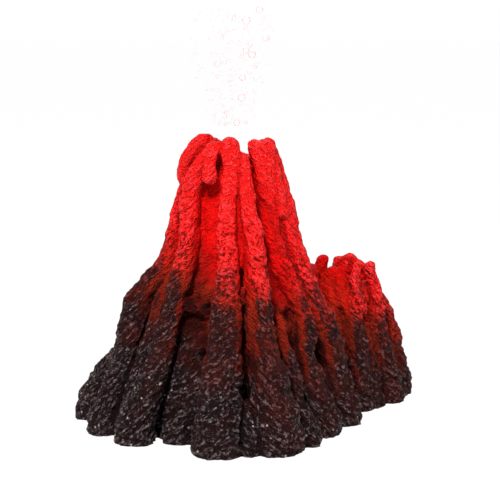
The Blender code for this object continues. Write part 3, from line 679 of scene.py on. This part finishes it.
# %% Keep inside the casting's box
def settle_inside(thing, low, high):
    points = read_points(thing.data)
    print("sculpted box", points.min(0) / MM, points.max(0) / MM)
    print("casting's box", np.array(low) / MM, np.array(high) / MM)
    write_points(thing.data, np.clip(points, np.array(low), np.array(high)))


settle_inside(volcano, shell_low, shell_high)

# %% [markdown]
# ## Paint guides
# The paint follows the relief: the valleys and creases are darkened as painted shade, and a dry brush,
# partly a painted highlight, catches the crests.
# Three guides are measured on the finished mesh and stored on its points. "valley" says how deep a
# point lies between ridges. "crest" compares it with a lightly smoothed copy. "fade" says how far
# the red has come down: it ends lower on the right than on the left.
#
# For wide valleys a smoothed copy isn't enough. So the ridges' radius is tabled by height and
# azimuth, and each cell takes the lower of the highest ridges on its two sides. What lies inside
# that envelope is a valley.

# %% Measure the guides
def store(mesh, name, values):
    guide = mesh.attributes.new(name, "FLOAT", "POINT")
    guide.data.foreach_set("value", values.astype(np.float32))


ENVELOPE_STEP = 4 * MM
ENVELOPE_TURNS = 72
ENVELOPE_REACH = 4
ENVELOPE_PASSES = 2
FLANK = 1.1 * MM
GROOVE_DEPTH = 5.0 * MM
WIDE_RELIEF = 2.0 * MM
CLOSE_RELIEF = 0.3 * MM
CREST_PASSES = 5
FADE_HEIGHT = 76 * MM
FADE_TILT = 0.34
FADE_SPAN = 60 * MM
FADE_PATCH = 14 * MM
FADE_SEED = 7


def groove_depth(points, axis):
    """How far each point lies inside the ridges beside it, from 0 on them to 1 deep between them."""
    out = points[:, :2] - np.array(axis)
    radius = np.hypot(out[:, 0], out[:, 1])
    column = (np.degrees(np.arctan2(out[:, 0], -out[:, 1])) / 360.0 % 1.0) * ENVELOPE_TURNS
    row = np.clip(points[:, 2] / ENVELOPE_STEP, 0.0, None)
    ridge = np.zeros((int(row.max()) + 2, ENVELOPE_TURNS))
    np.maximum.at(ridge, (row.astype(int), column.astype(int) % ENVELOPE_TURNS), radius)
    ridge[-1] = ridge[-2]
    shifted = [np.roll(ridge, step, axis=1) for step in range(-ENVELOPE_REACH, ENVELOPE_REACH + 1)]
    before = np.maximum.reduce(shifted[:ENVELOPE_REACH + 1])
    after = np.maximum.reduce(shifted[ENVELOPE_REACH:])
    envelope = np.minimum(before, after)
    for _ in range(ENVELOPE_PASSES):
        envelope = (envelope + np.roll(envelope, 1, axis=1) + np.roll(envelope, -1, axis=1)) / 3
        envelope[1:-1] = (envelope[1:-1] + envelope[:-2] + envelope[2:]) / 3
    row = np.clip(row - 0.5, 0.0, len(ridge) - 1.001)
    column = (column - 0.5) % ENVELOPE_TURNS
    low, left = row.astype(int), column.astype(int)
    right = (left + 1) % ENVELOPE_TURNS
    up, across = row - low, column - left
    under = envelope[low, left] * (1 - across) + envelope[low, right] * across
    over = envelope[low + 1, left] * (1 - across) + envelope[low + 1, right] * across
    depth = under * (1 - up) + over * up - radius - FLANK
    return np.clip(depth / GROOVE_DEPTH, 0.0, 1.0)


def measure_guides(thing):
    mesh = thing.data
    points = read_points(mesh)
    normals = read_normals(mesh)
    wide = np.einsum("ij,ij->i", smoothed_points(thing, VALLEY_PASSES) - points, normals)
    close = np.einsum("ij,ij->i", points - smoothed_points(thing, CREST_PASSES), normals)
    line = FADE_HEIGHT - FADE_TILT * (points[:, 0] - MAIN_AXIS[0])
    patches = noise_at(points, FADE_PATCH, FADE_SEED)
    print("wide relief mm", np.percentile(wide / MM, (5, 25, 50, 75, 95)).round(2))
    print("close relief mm", np.percentile(close / MM, (5, 25, 50, 75, 95)).round(2))
    to_main = distance_from(points, MAIN_AXIS) / SHELL_REACH
    to_side = distance_from(points, SIDE_AXIS) / SIDE_REACH
    beside = 0.7 * groove_depth(points, SIDE_AXIS)
    deep = np.where(to_main < to_side, groove_depth(points, MAIN_AXIS), beside)
    valley = np.clip(wide / WIDE_RELIEF, -1.0, 1.0)
    valley = np.maximum(valley, deep + 0.35 * np.minimum(valley, 0.0))
    store(mesh, "valley", valley)
    store(mesh, "crest", np.clip(close / CLOSE_RELIEF, -1.0, 1.0))
    store(mesh, "fade", (points[:, 2] - line) / FADE_SPAN + 0.14 * patches)


measure_guides(volcano)
volcano.data.shade_smooth()

# %% [markdown]
# ## Painted resin
# The paint goes on in the order of a painter: a red base coat all over, darker in the valleys and
# creases as painted shade; charcoal over the raised lower rock, thinning out upwards; then two dry
# brushings of the crests, coral on the red and ash grey on the charcoal, each partly a painted highlight.
#
# The finest scales are too small for the mesh, so a node group repeats the sculpted pattern at any
# pitch, for the paint and for the bump.

# %% Fine scales as a group
WARP_SHIFT = 2.6


def axis_radius(tree, parts):
    """Offsets from the main axis in X and Y, and the distance from it."""
    from_axis = [maths(tree, "SUBTRACT", parts.outputs[i], MAIN_AXIS[i]) for i in (0, 1)]
    squares = [maths(tree, "MULTIPLY", value, value) for value in from_axis]
    return from_axis, maths(tree, "SQRT", maths(tree, "ADD", squares[0], squares[1]))


def make_scale_group():
    """The same overlapping scales, finer than the mesh: 1 in a scale's middle, 0 in the creases."""
    group, entry, leave = start_group(
        "lava_scales",
        [("Pitch", "NodeSocketFloat", 1.4 * MM)],
        [("Height", "NodeSocketFloat")],
    )
    place = add(group, "ShaderNodeTexCoord")
    parts = add(group, "ShaderNodeSeparateXYZ")
    group.links.new(place.outputs["Object"], parts.inputs[0])
    from_axis, radius = axis_radius(group, parts)
    drape = maths(group, "MULTIPLY", radius, DRAPE)
    slant = maths(group, "MULTIPLY", maths(group, "ABSOLUTE", from_axis[0]), SLANT)
    droop = maths(group, "ADD", drape, slant)
    flat = add(group, "ShaderNodeCombineXYZ", "stretched sideways")
    for i in (0, 1):
        group.links.new(maths(group, "DIVIDE", from_axis[i], STRETCH), flat.inputs[i])
    group.links.new(maths(group, "ADD", parts.outputs[2], droop), flat.inputs[2])
    warp = add(group, "ShaderNodeTexNoise", "warp")
    warp.inputs["Detail"].default_value = 2.0
    group.links.new(place.outputs["Object"], warp.inputs["Vector"])
    group.links.new(maths(group, "DIVIDE", 0.5, entry.outputs["Pitch"]), warp.inputs["Scale"])
    shift = add(group, "ShaderNodeVectorMath", "shift", operation="SCALE")
    group.links.new(warp.outputs["Color"], shift.inputs[0])
    reach = maths(group, "MULTIPLY", entry.outputs["Pitch"], WARP_SHIFT)
    group.links.new(reach, shift.inputs["Scale"])
    moved = add(group, "ShaderNodeVectorMath", "moved", operation="ADD")
    group.links.new(flat.outputs[0], moved.inputs[0])
    group.links.new(shift.outputs[0], moved.inputs[1])
    cells = add(group, "ShaderNodeTexVoronoi", "cells")
    group.links.new(moved.outputs[0], cells.inputs["Vector"])
    group.links.new(maths(group, "DIVIDE", 1.0, entry.outputs["Pitch"]), cells.inputs["Scale"])
    group.links.new(remap(group, cells.outputs["Distance"], 0.85, 0.05), leave.inputs["Height"])
    return group


SCALES = make_scale_group()


def fine_scales(tree, pitch):
    node = add(tree, "ShaderNodeGroup", "fine scales")
    node.node_tree = SCALES
    node.inputs["Pitch"].default_value = pitch
    return node.outputs["Height"]


# %% [markdown]
# Masks carry the whole paint job. "relief" adds the crests, the scales and fine grit; "edge" decides
# where charcoal covers the red, and less of it where a valley runs; painted shade darkens the valleys
# and creases, and each dry brush is a mask on the relief, partly a painted highlight. A few pale chips
# of stone near the floor finish it.

# %% Rock paint
def guide(tree, name):
    return add(tree, "ShaderNodeAttribute", name, attribute_name=name).outputs["Fac"]


def weighted(tree, *pairs):
    """The sum of (socket, weight) pairs."""
    total = None
    for value, weight in pairs:
        share = maths(tree, "MULTIPLY", value, weight)
        total = share if total is None else maths(tree, "ADD", total, share)
    return total


BRIGHT_RED = (0.86, 0.007, 0.006)
VALLEY_SHADE_RED = (0.50, 0.0005, 0.0)
RUST_RED = (0.26, 0.014, 0.003)
BURNT_RED = (0.055, 0.005, 0.002)
CORAL_BRUSH_AND_HIGHLIGHT = (1.0, 0.055, 0.06)
CHARCOAL = (0.0035, 0.0025, 0.003)
ASH_BRUSH_AND_HIGHLIGHT = (0.25, 0.215, 0.225)
PINK_ASH_AND_HIGHLIGHT = (0.30, 0.12, 0.11)
CHIP_TAN = (0.42, 0.30, 0.23)
# The next two reds are painted shade: one for the deepest troughs, one for the creases between scales.
TROUGH_SHADE_RED = (0.022, 0.0012, 0.0008)
CREASE_SHADE_RED = (0.05, 0.002, 0.001)
RIPPLE_PITCH = 1.35 * MM
SMALL_RIPPLE_PITCH = 0.8 * MM
SKIN_RELIEF = 1.7 * MM
CHIP_SCALE = 620.0


def both(tree, first, second):
    """The product of two masks."""
    return maths(tree, "MULTIPLY", first, second)


def base_red(tree, valley, fade, relief, groove, patch):
    """The red coat: darker in the valleys and creases as painted shade, and coral on the crests, partly
    dry brush and partly a painted highlight.
    """
    low_red = blend_colour(tree, remap(tree, fade, -0.95, -0.1), BURNT_RED, RUST_RED)
    # Painted shade: the red turns deeper in the valleys of the upper rock.
    high_red = blend_colour(tree, groove, BRIGHT_RED, VALLEY_SHADE_RED)
    # Painted shade: the deepest troughs of the lower rock go nearly black red.
    trough_shade = both(tree, remap(tree, valley, 0.55, 1.0), remap(tree, patch, 0.15, 0.75, 0.35, 1.0))
    low_red = blend_colour(tree, trough_shade, low_red, TROUGH_SHADE_RED)
    red = blend_colour(tree, remap(tree, fade, -0.30, 0.20), low_red, high_red)
    # Painted shade: the creases between scales are darkened, more lower down and less in the valleys.
    crease_shade = both(tree, remap(tree, relief, 0.46, 0.16), remap(tree, fade, 0.85, 0.1, 0.22, 0.95))
    crease_shade = both(tree, crease_shade, remap(tree, valley, 0.9, 0.2, 0.2, 1.0))
    red = blend_colour(tree, crease_shade, red, CREASE_SHADE_RED)
    # Coral on the crests of the red: a dry brush, and partly a painted highlight.
    brush_and_highlight = both(tree, remap(tree, relief, 0.42, 0.75), remap(tree, valley, 0.3, -0.3))
    brush_and_highlight = both(tree, brush_and_highlight, remap(tree, fade, -0.45, 0.3, 0.25, 1.0))
    return blend_colour(tree, brush_and_highlight, red, CORAL_BRUSH_AND_HIGHLIGHT)


def charcoal_coat(tree, fade, relief, grit, patch):
    """Charcoal with ash grey dry-brushed on its crests, partly a painted highlight, stained red where the
    coat is thin.
    """
    # Ash grey on the charcoal crests is a dry brush and partly a painted highlight; the red stain is
    # lighter on the same crests.
    crest_brush_and_highlight = both(tree, remap(tree, relief, 0.40, 1.08), remap(tree, grit, 0.1, 0.9, 0.45, 1.0))
    ash = blend_colour(tree, remap(tree, fade, -1.0, -0.2), ASH_BRUSH_AND_HIGHLIGHT, PINK_ASH_AND_HIGHLIGHT)
    coat = blend_colour(tree, crest_brush_and_highlight, CHARCOAL, ash)
    stain = both(tree, patch, remap(tree, fade, -1.25, -0.2, 0.12, 0.85))
    return blend_colour(tree, stain, coat, blend_colour(tree, crest_brush_and_highlight, BURNT_RED, RUST_RED))


def stone_chips(tree, fade):
    """A mask of a few round specks near the floor."""
    grains = add(tree, "ShaderNodeTexVoronoi", "chips")
    grains.inputs["Scale"].default_value = CHIP_SCALE
    tree.links.new(add(tree, "ShaderNodeTexCoord").outputs["Object"], grains.inputs["Vector"])
    pick = add(tree, "ShaderNodeSeparateColor")
    tree.links.new(grains.outputs["Color"], pick.inputs[0])
    rare = remap(tree, pick.outputs[0], 0.955, 0.96)
    chips = both(tree, rare, remap(tree, grains.outputs["Distance"], 0.42, 0.30))
    return both(tree, chips, remap(tree, fade, -0.70, -1.05, 0.0, 0.9))


def rock_paint():
    material, tree, shader = new_material("painted_resin")
    valley = guide(tree, "valley")
    crest = guide(tree, "crest")
    fade = guide(tree, "fade")
    patch = speckle(tree, 95.0, 0.3, 0.7)
    grit = speckle(tree, 420.0, 0.3, 0.7)
    fine = speckle(tree, 1500.0, 0.3, 0.7)
    ripple = fine_scales(tree, RIPPLE_PITCH)
    small_ripple = fine_scales(tree, SMALL_RIPPLE_PITCH)
    relief = weighted(tree, (crest, 0.40), (ripple, 0.45), (small_ripple, 0.30), (fine, 0.25))
    groove = remap(tree, valley, 0.0, 0.6)
    red = base_red(tree, valley, fade, relief, groove, patch)
    deep_share = both(tree, groove, remap(tree, fade, -1.15, -0.15, 0.25, 0.85))
    edge = weighted(tree, (fade, 1.0), (deep_share, 1.0), (patch, 0.34), (grit, 0.16), (relief, 0.22))
    soot = remap(tree, edge, 0.58, 0.02, 0.0, 0.97)
    colour = blend_colour(tree, soot, red, charcoal_coat(tree, fade, relief, grit, patch))
    colour = blend_colour(tree, stone_chips(tree, fade), colour, CHIP_TAN)
    tree.links.new(colour, shader.inputs["Base Color"])
    tree.links.new(remap(tree, fine, 0.0, 1.0, 0.5, 0.68), shader.inputs["Roughness"])
    shader.inputs["Specular IOR Level"].default_value = 0.11
    shader.inputs["Specular Tint"].default_value = (1.0, 0.62, 0.60, 1.0)
    bump = add(tree, "ShaderNodeBump", "wrinkled skin")
    bump.inputs["Strength"].default_value = 1.0
    bump.inputs["Distance"].default_value = SKIN_RELIEF
    pool = both(tree, remap(tree, valley, 0.2, 0.8), remap(tree, fade, -0.4, 0.1))
    smooth_pool = remap(tree, pool, 0.0, 1.0, 1.0, 0.35)
    skin = weighted(tree, (ripple, 1.0), (small_ripple, 0.6), (fine, 0.3))
    tree.links.new(both(tree, skin, smooth_pool), bump.inputs["Height"])
    tree.links.new(bump.outputs["Normal"], shader.inputs["Normal"])
    return material


volcano.data.materials.clear()
volcano.data.materials.append(rock_paint())
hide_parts("volcano_shell")
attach(volcano, "ornament")

# %% [markdown]
# ## The bubbler
# The lit puck under the casting is seen when the volcano is lifted. Its solids come from the
# engineering model as they are, so only their finishes are made here: moulded black plastic with
# worn edges, soft rubber, a clear lens, a lacquered board with copper rings, and steel screws.

# %% Finish helper
def finish(name, material):
    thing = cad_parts[name]
    thing.data.materials.clear()
    thing.data.materials.append(material)


def worn_edges(tree, width):
    """1 on convex edges: the bevelled normal leans away from the true one there."""
    bevel = add(tree, "ShaderNodeBevel", "edge", samples=EDGE_SAMPLES)
    bevel.inputs["Radius"].default_value = width
    shape = add(tree, "ShaderNodeNewGeometry")
    dot = add(tree, "ShaderNodeVectorMath", operation="DOT_PRODUCT")
    tree.links.new(bevel.outputs[0], dot.inputs[0])
    tree.links.new(shape.outputs["Normal"], dot.inputs[1])
    return remap(tree, dot.outputs["Value"], 0.97, 0.80)


def grain_bump(tree, shader, height, depth, strength=0.5):
    bump = add(tree, "ShaderNodeBump", "grain")
    bump.inputs["Strength"].default_value = strength
    bump.inputs["Distance"].default_value = depth
    tree.links.new(height, bump.inputs["Height"])
    tree.links.new(bump.outputs["Normal"], shader.inputs["Normal"])


# %% [markdown]
# Plastic and rubber share one recipe with different numbers: a fine grain, some dust, and paler
# edges where hands have worn them.

# %% Moulded plastic and rubber
EDGE_WIDTH = 0.3 * MM
EDGE_SAMPLES = 6


def moulded(name, base, worn, rough, grain_scale, grain_depth):
    material, tree, shader = new_material(name)
    grain = speckle(tree, grain_scale, 0.3, 0.7)
    dust = speckle(tree, 120.0, 0.45, 0.75)
    tone = blend_colour(tree, maths(tree, "MULTIPLY", dust, 0.35), base, worn)
    tone = blend_colour(tree, both(tree, worn_edges(tree, EDGE_WIDTH), grain), tone, worn)
    tree.links.new(tone, shader.inputs["Base Color"])
    tree.links.new(remap(tree, grain, 0.0, 1.0, rough - 0.06, rough + 0.1), shader.inputs["Roughness"])
    grain_bump(tree, shader, grain, grain_depth)
    return material


black_plastic = moulded("black_plastic", (0.012, 0.012, 0.014), (0.06, 0.06, 0.065), 0.38, 2200.0,
                        0.05 * MM)
gasket_rubber = moulded("gasket_rubber", (0.022, 0.022, 0.023), (0.07, 0.07, 0.07), 0.7, 1600.0,
                        0.04 * MM)
for name in ("lower_case", "air_inlet"):
    finish(name, black_plastic)
for name in ("cable_gland", "lens_seal", "stone_seal"):
    finish(name, gasket_rubber)


# %% [markdown]
# The cup is milky and the lens is nearly clear. Both are the same moulding with a different solid
# share: light goes through what isn't solid.

# %% Clear cup rubber and lens
def clear_finish(name, tint, rough, solid):
    """A see-through moulding; the solid share is the milky part."""
    material, tree, shader = new_material(name)
    haze = speckle(tree, 300.0, 0.3, 0.8)
    cloudy = tuple(0.86 * value for value in tint)
    tree.links.new(blend_colour(tree, haze, tint, cloudy), shader.inputs["Base Color"])
    tree.links.new(remap(tree, haze, 0.0, 1.0, rough, rough + 0.12), shader.inputs["Roughness"])
    shader.inputs["Transmission Weight"].default_value = 1.0 - solid
    shader.inputs["IOR"].default_value = 1.46
    grain_bump(tree, shader, speckle(tree, 900.0), 0.03 * MM, 0.3)
    return material


finish("suction_cup", clear_finish("cup_rubber", (0.80, 0.84, 0.86), 0.22, 0.45))
finish("lens", clear_finish("clear_plastic", (0.94, 0.95, 0.96), 0.04, 0.05))


# %% [markdown]
# The board's copper rings are drawn by the distance from the axis, and the chips' tinned ends by
# their own length.

# %% Board, lamps and chips
TRACK_PITCH = 2.2 * MM


def board_finish():
    material, tree, shader = new_material("board")
    place = add(tree, "ShaderNodeTexCoord")
    parts = add(tree, "ShaderNodeSeparateXYZ")
    tree.links.new(place.outputs["Object"], parts.inputs[0])
    _, radius = axis_radius(tree, parts)
    track = maths(tree, "FRACT", maths(tree, "DIVIDE", radius, TRACK_PITCH))
    copper = both(tree, remap(tree, track, 0.30, 0.34), remap(tree, track, 0.56, 0.52))
    lacquer = blend_colour(tree, speckle(tree, 500.0), (0.010, 0.10, 0.04), (0.014, 0.13, 0.055))
    tone = blend_colour(tree, copper, lacquer, (0.03, 0.22, 0.08))
    tree.links.new(tone, shader.inputs["Base Color"])
    shader.inputs["Roughness"].default_value = 0.3
    grain_bump(tree, shader, copper, 0.05 * MM)
    return material


def lamp_finish():
    """Clear red epoxy that glows a little from inside."""
    material, tree, shader = new_material("red_lamp")
    cloud = speckle(tree, 700.0, 0.3, 0.7)
    tone = blend_colour(tree, cloud, (0.75, 0.012, 0.008), (0.9, 0.03, 0.02))
    tree.links.new(tone, shader.inputs["Base Color"])
    tree.links.new(remap(tree, cloud, 0.0, 1.0, 0.08, 0.16), shader.inputs["Roughness"])
    shader.inputs["Transmission Weight"].default_value = 0.35
    shader.inputs["Emission Color"].default_value = (1.0, 0.02, 0.01, 1.0)
    shader.inputs["Emission Strength"].default_value = 0.6
    return material


def chip_finish():
    material, tree, shader = new_material("chip")
    place = add(tree, "ShaderNodeTexCoord")
    parts = add(tree, "ShaderNodeSeparateXYZ")
    tree.links.new(place.outputs["Generated"], parts.inputs[0])
    from_middle = maths(tree, "ABSOLUTE", maths(tree, "SUBTRACT", parts.outputs[1], 0.5))
    tinned = remap(tree, from_middle, 0.32, 0.34)
    body = blend_colour(tree, speckle(tree, 1500.0), (0.02, 0.02, 0.022), (0.04, 0.04, 0.043))
    tree.links.new(blend_colour(tree, tinned, body, (0.62, 0.62, 0.60)), shader.inputs["Base Color"])
    tree.links.new(tinned, shader.inputs["Metallic"])
    shader.inputs["Roughness"].default_value = 0.35
    return material


finish("circuit_board", board_finish())
red_lamp = lamp_finish()
chip = chip_finish()
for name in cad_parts:
    if name.startswith("led_"):
        finish(name, red_lamp)
    if name.startswith("resistor_"):
        finish(name, chip)


# %% [markdown]
# The screws are bare stainless steel. The stone's grit is a Voronoi pattern, and its pores are darkened as
# painted shade.

# %% Steel and stone
def steel_finish():
    material, tree, shader = new_material("screw_steel")
    grain = speckle(tree, 1400.0, 0.3, 0.7)
    tone = blend_colour(tree, grain, (0.50, 0.50, 0.51), (0.66, 0.66, 0.67))
    tree.links.new(tone, shader.inputs["Base Color"])
    tree.links.new(remap(tree, grain, 0.0, 1.0, 0.22, 0.4), shader.inputs["Roughness"])
    shader.inputs["Metallic"].default_value = 1.0
    grain_bump(tree, shader, grain, 0.02 * MM)
    return material


def stone_finish():
    """Sintered blue-grey grit with open pores."""
    material, tree, shader = new_material("porous_stone")
    place = add(tree, "ShaderNodeTexCoord")
    grains = add(tree, "ShaderNodeTexVoronoi", "grains")
    grains.inputs["Scale"].default_value = 1300.0
    tree.links.new(place.outputs["Object"], grains.inputs["Vector"])
    pore = remap(tree, grains.outputs["Distance"], 0.35, 0.75)
    tone = blend_colour(tree, speckle(tree, 900.0, 0.3, 0.7), (0.20, 0.24, 0.31), (0.33, 0.37, 0.44))
    # Painted shade: the pores are darkened.
    tone = blend_colour(tree, pore, tone, (0.05, 0.06, 0.08))
    tree.links.new(tone, shader.inputs["Base Color"])
    tree.links.new(remap(tree, pore, 0.0, 1.0, 0.8, 0.98), shader.inputs["Roughness"])
    grain_bump(tree, shader, maths(tree, "SUBTRACT", 1.0, pore), 0.3 * MM, 0.9)
    return material


screw_steel = steel_finish()
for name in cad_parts:
    if name.startswith("case_screw"):
        finish(name, screw_steel)


# %% [markdown]
# The air stone is grit pressed and baked into a puck. A fine turned puck, remeshed and roughened
# point by point, shows the grains on its edge where a bump map alone would leave a clean outline.

# %% Air stone
STONE_GRAIN = 0.35 * MM
STONE_ROUGHNESS = 0.22 * MM


def make_air_stone():
    radius = (stone_high.x - stone_low.x) / 2 - STONE_ROUGHNESS
    low = stone_low.z
    high = stone_high.z - STONE_ROUGHNESS
    profile = (
        (0.0, high), (0.6 * radius, high - 0.2 * MM), (radius - 1.2 * MM, high - 0.8 * MM),
        (radius - 0.3 * MM, high - 1.3 * MM), (radius, high - 2.2 * MM), (radius, low), (0.0, low),
    )
    stone = turned("air_stone_grit", profile, 64)
    stone.data.transform(Matrix.Translation((*MAIN_AXIS, 0.0)))
    fuse(stone, STONE_GRAIN, 1)
    points = read_points(stone.data)
    normals = read_normals(stone.data)
    pits = noise_at(points, 0.9 * MM, 21) + 0.5 * noise_at(points, 0.5 * MM, 22)
    moved = points + normals * (STONE_ROUGHNESS * np.clip(pits, -1.0, 1.0))[:, None]
    write_points(stone.data, np.clip(moved, np.array(stone_low), np.array(stone_high)))
    stone.data.shade_smooth()
    stone.data.materials.append(stone_finish())
    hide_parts("air_stone")
    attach(stone, "air_stone")
    return stone


stone = make_air_stone()
print("air stone:", len(stone.data.vertices), "points")

# %% [markdown]
# ## Bubbles
# Air leaves the crater as a loose column of bubbles. They are dressing and not part of the object:
# thin clear skins with the red lamp light painted pink towards the rim, from pinheads to a few
# millimetres.

# %% Bubbles
# How many, with the least and the greatest radius in millimetres
BUBBLE_SIZES = ((330, 0.22, 0.50), (44, 0.6, 1.0), (9, 1.4, 1.9))
BUBBLE_SEED = 41
COLUMN_HEIGHT = 53 * MM
COLUMN_START = 3 * MM
COLUMN_DEPTH = 0.5


def bubble_skin():
    material, tree, shader = new_material("bubble_skin")
    # Painted light: the pink stands for the red lamp light on clear bubbles, and the facing mask puts it
    # on the rims only.
    tone = blend_colour(tree, speckle(tree, 200.0), (0.93, 0.30, 0.36), (0.96, 0.42, 0.47))
    tree.links.new(tone, shader.inputs["Base Color"])
    shader.inputs["Roughness"].default_value = 0.2
    clear = add(tree, "ShaderNodeBsdfTransparent")
    edge = add(tree, "ShaderNodeLayerWeight")
    edge.inputs["Blend"].default_value = 0.3
    mix = add(tree, "ShaderNodeMixShader")
    tree.links.new(remap(tree, edge.outputs["Facing"], 0.22, 0.60, 0.0, 0.95), mix.inputs[0])
    tree.links.new(clear.outputs[0], mix.inputs[1])
    tree.links.new(shader.outputs[0], mix.inputs[2])
    tree.links.new(mix.outputs[0], tree.nodes["Material Output"].inputs["Surface"])
    return material


def make_bubbles():
    chance = random.Random(BUBBLE_SEED)
    shape = bmesh.new()
    for count, small, large in BUBBLE_SIZES:
        for _ in range(count):
            rise = chance.random()
            spread = (9 + 13 * rise ** 0.6) * MM
            turn = chance.uniform(0.0, 2 * math.pi)
            out = spread * math.sqrt(chance.random())
            centre = (MAIN_AXIS[0] + out * math.cos(turn),
                      MAIN_AXIS[1] + COLUMN_DEPTH * out * math.sin(turn),
                      SHELL_HEIGHT + COLUMN_START + rise * COLUMN_HEIGHT)
            radius = chance.uniform(small, large) * MM
            ball = bmesh.ops.create_icosphere(shape, subdivisions=3 if large > 1 else 2, radius=radius)
            bmesh.ops.translate(shape, verts=ball["verts"], vec=centre)
    mesh = bpy.data.meshes.new("bubbles")
    shape.to_mesh(mesh)
    shape.free()
    mesh.shade_smooth()
    mesh.materials.append(bubble_skin())
    bubbles = bpy.data.objects.new("bubbles", mesh)
    bpy.context.scene.collection.objects.link(bubbles)
    bubbles.visible_shadow = False


make_bubbles()
print("bubbles:", sum(count for count, _, _ in BUBBLE_SIZES))

# %% [markdown]
# ## Studio
# The floor is pale: the camera sees it glow almost white, while it still returns soft light to the
# rock.

# %% Floor
FLOOR_GLOW = 0.985
FLOOR_HALF = 12.0
FLOOR_GAP = 0.2 * MM


def make_floor():
    mesh = bpy.data.meshes.new("floor")
    corners = [(x * FLOOR_HALF, y * FLOOR_HALF, 0) for x, y in ((-1, -1), (1, -1), (1, 1), (-1, 1))]
    mesh.from_pydata(corners, [], [(0, 1, 2, 3)])
    floor = bpy.data.objects.new("floor", mesh)
    bpy.context.scene.collection.objects.link(floor)
    floor.location.z = -FLOOR_GAP
    material, tree, shader = new_material("studio_floor")
    shader.inputs["Roughness"].default_value = 0.8
    tone = blend_colour(tree, speckle(tree, 60.0), (0.90, 0.90, 0.90), (0.915, 0.915, 0.915))
    path = add(tree, "ShaderNodeLightPath")
    seen = path.outputs["Is Camera Ray"]
    tree.links.new(blend_colour(tree, seen, tone, (0.03, 0.03, 0.03)), shader.inputs["Base Color"])
    shader.inputs["Specular IOR Level"].default_value = 0.0
    shader.inputs["Emission Color"].default_value = (1.0, 1.0, 1.0, 1.0)
    glow = maths(tree, "MULTIPLY", seen, FLOOR_GLOW)
    tree.links.new(glow, shader.inputs["Emission Strength"])
    mesh.materials.append(material)


make_floor()


# %% [markdown]
# A key lamp stands above and in front, slightly on the left, with a weaker fill on the right and a
# rim lamp behind. A dim white world lights the valleys gently, and the camera sees it white.

# %% Lamps and world
LAMP_AIM = (0.0, 0.0, 0.06)
WORLD_LIGHT = 0.2


def lamp(name, at, size, watts):
    data = bpy.data.lights.new(name, "AREA")
    data.shape = "DISK"
    data.size = size
    data.energy = watts
    light = bpy.data.objects.new(name, data)
    bpy.context.scene.collection.objects.link(light)
    light.location = at
    light.rotation_euler = (Vector(LAMP_AIM) - Vector(at)).to_track_quat("-Z", "Y").to_euler()


lamp("key", (-0.22, -0.68, 1.0), 0.25, 27.0)
lamp("fill", (0.9, -0.6, 0.45), 0.6, 2.5)
lamp("rim", (0.1, 0.9, 0.8), 0.5, 5.0)


def make_world():
    world = bpy.data.worlds.new("studio")
    bpy.context.scene.world = world
    world.use_nodes = True
    tree = world.node_tree
    back = tree.nodes["Background"]
    back.inputs["Color"].default_value = (1.0, 1.0, 1.0, 1.0)
    back.inputs["Strength"].default_value = WORLD_LIGHT
    seen = add(tree, "ShaderNodeBackground", "seen by the camera")
    seen.inputs["Color"].default_value = (1.0, 1.0, 1.0, 1.0)
    seen.inputs["Strength"].default_value = 1.0
    path = add(tree, "ShaderNodeLightPath")
    mix = add(tree, "ShaderNodeMixShader")
    tree.links.new(path.outputs["Is Camera Ray"], mix.inputs[0])
    tree.links.new(back.outputs[0], mix.inputs[1])
    tree.links.new(seen.outputs[0], mix.inputs[2])
    tree.links.new(mix.outputs[0], tree.nodes["World Output"].inputs["Surface"])


make_world()
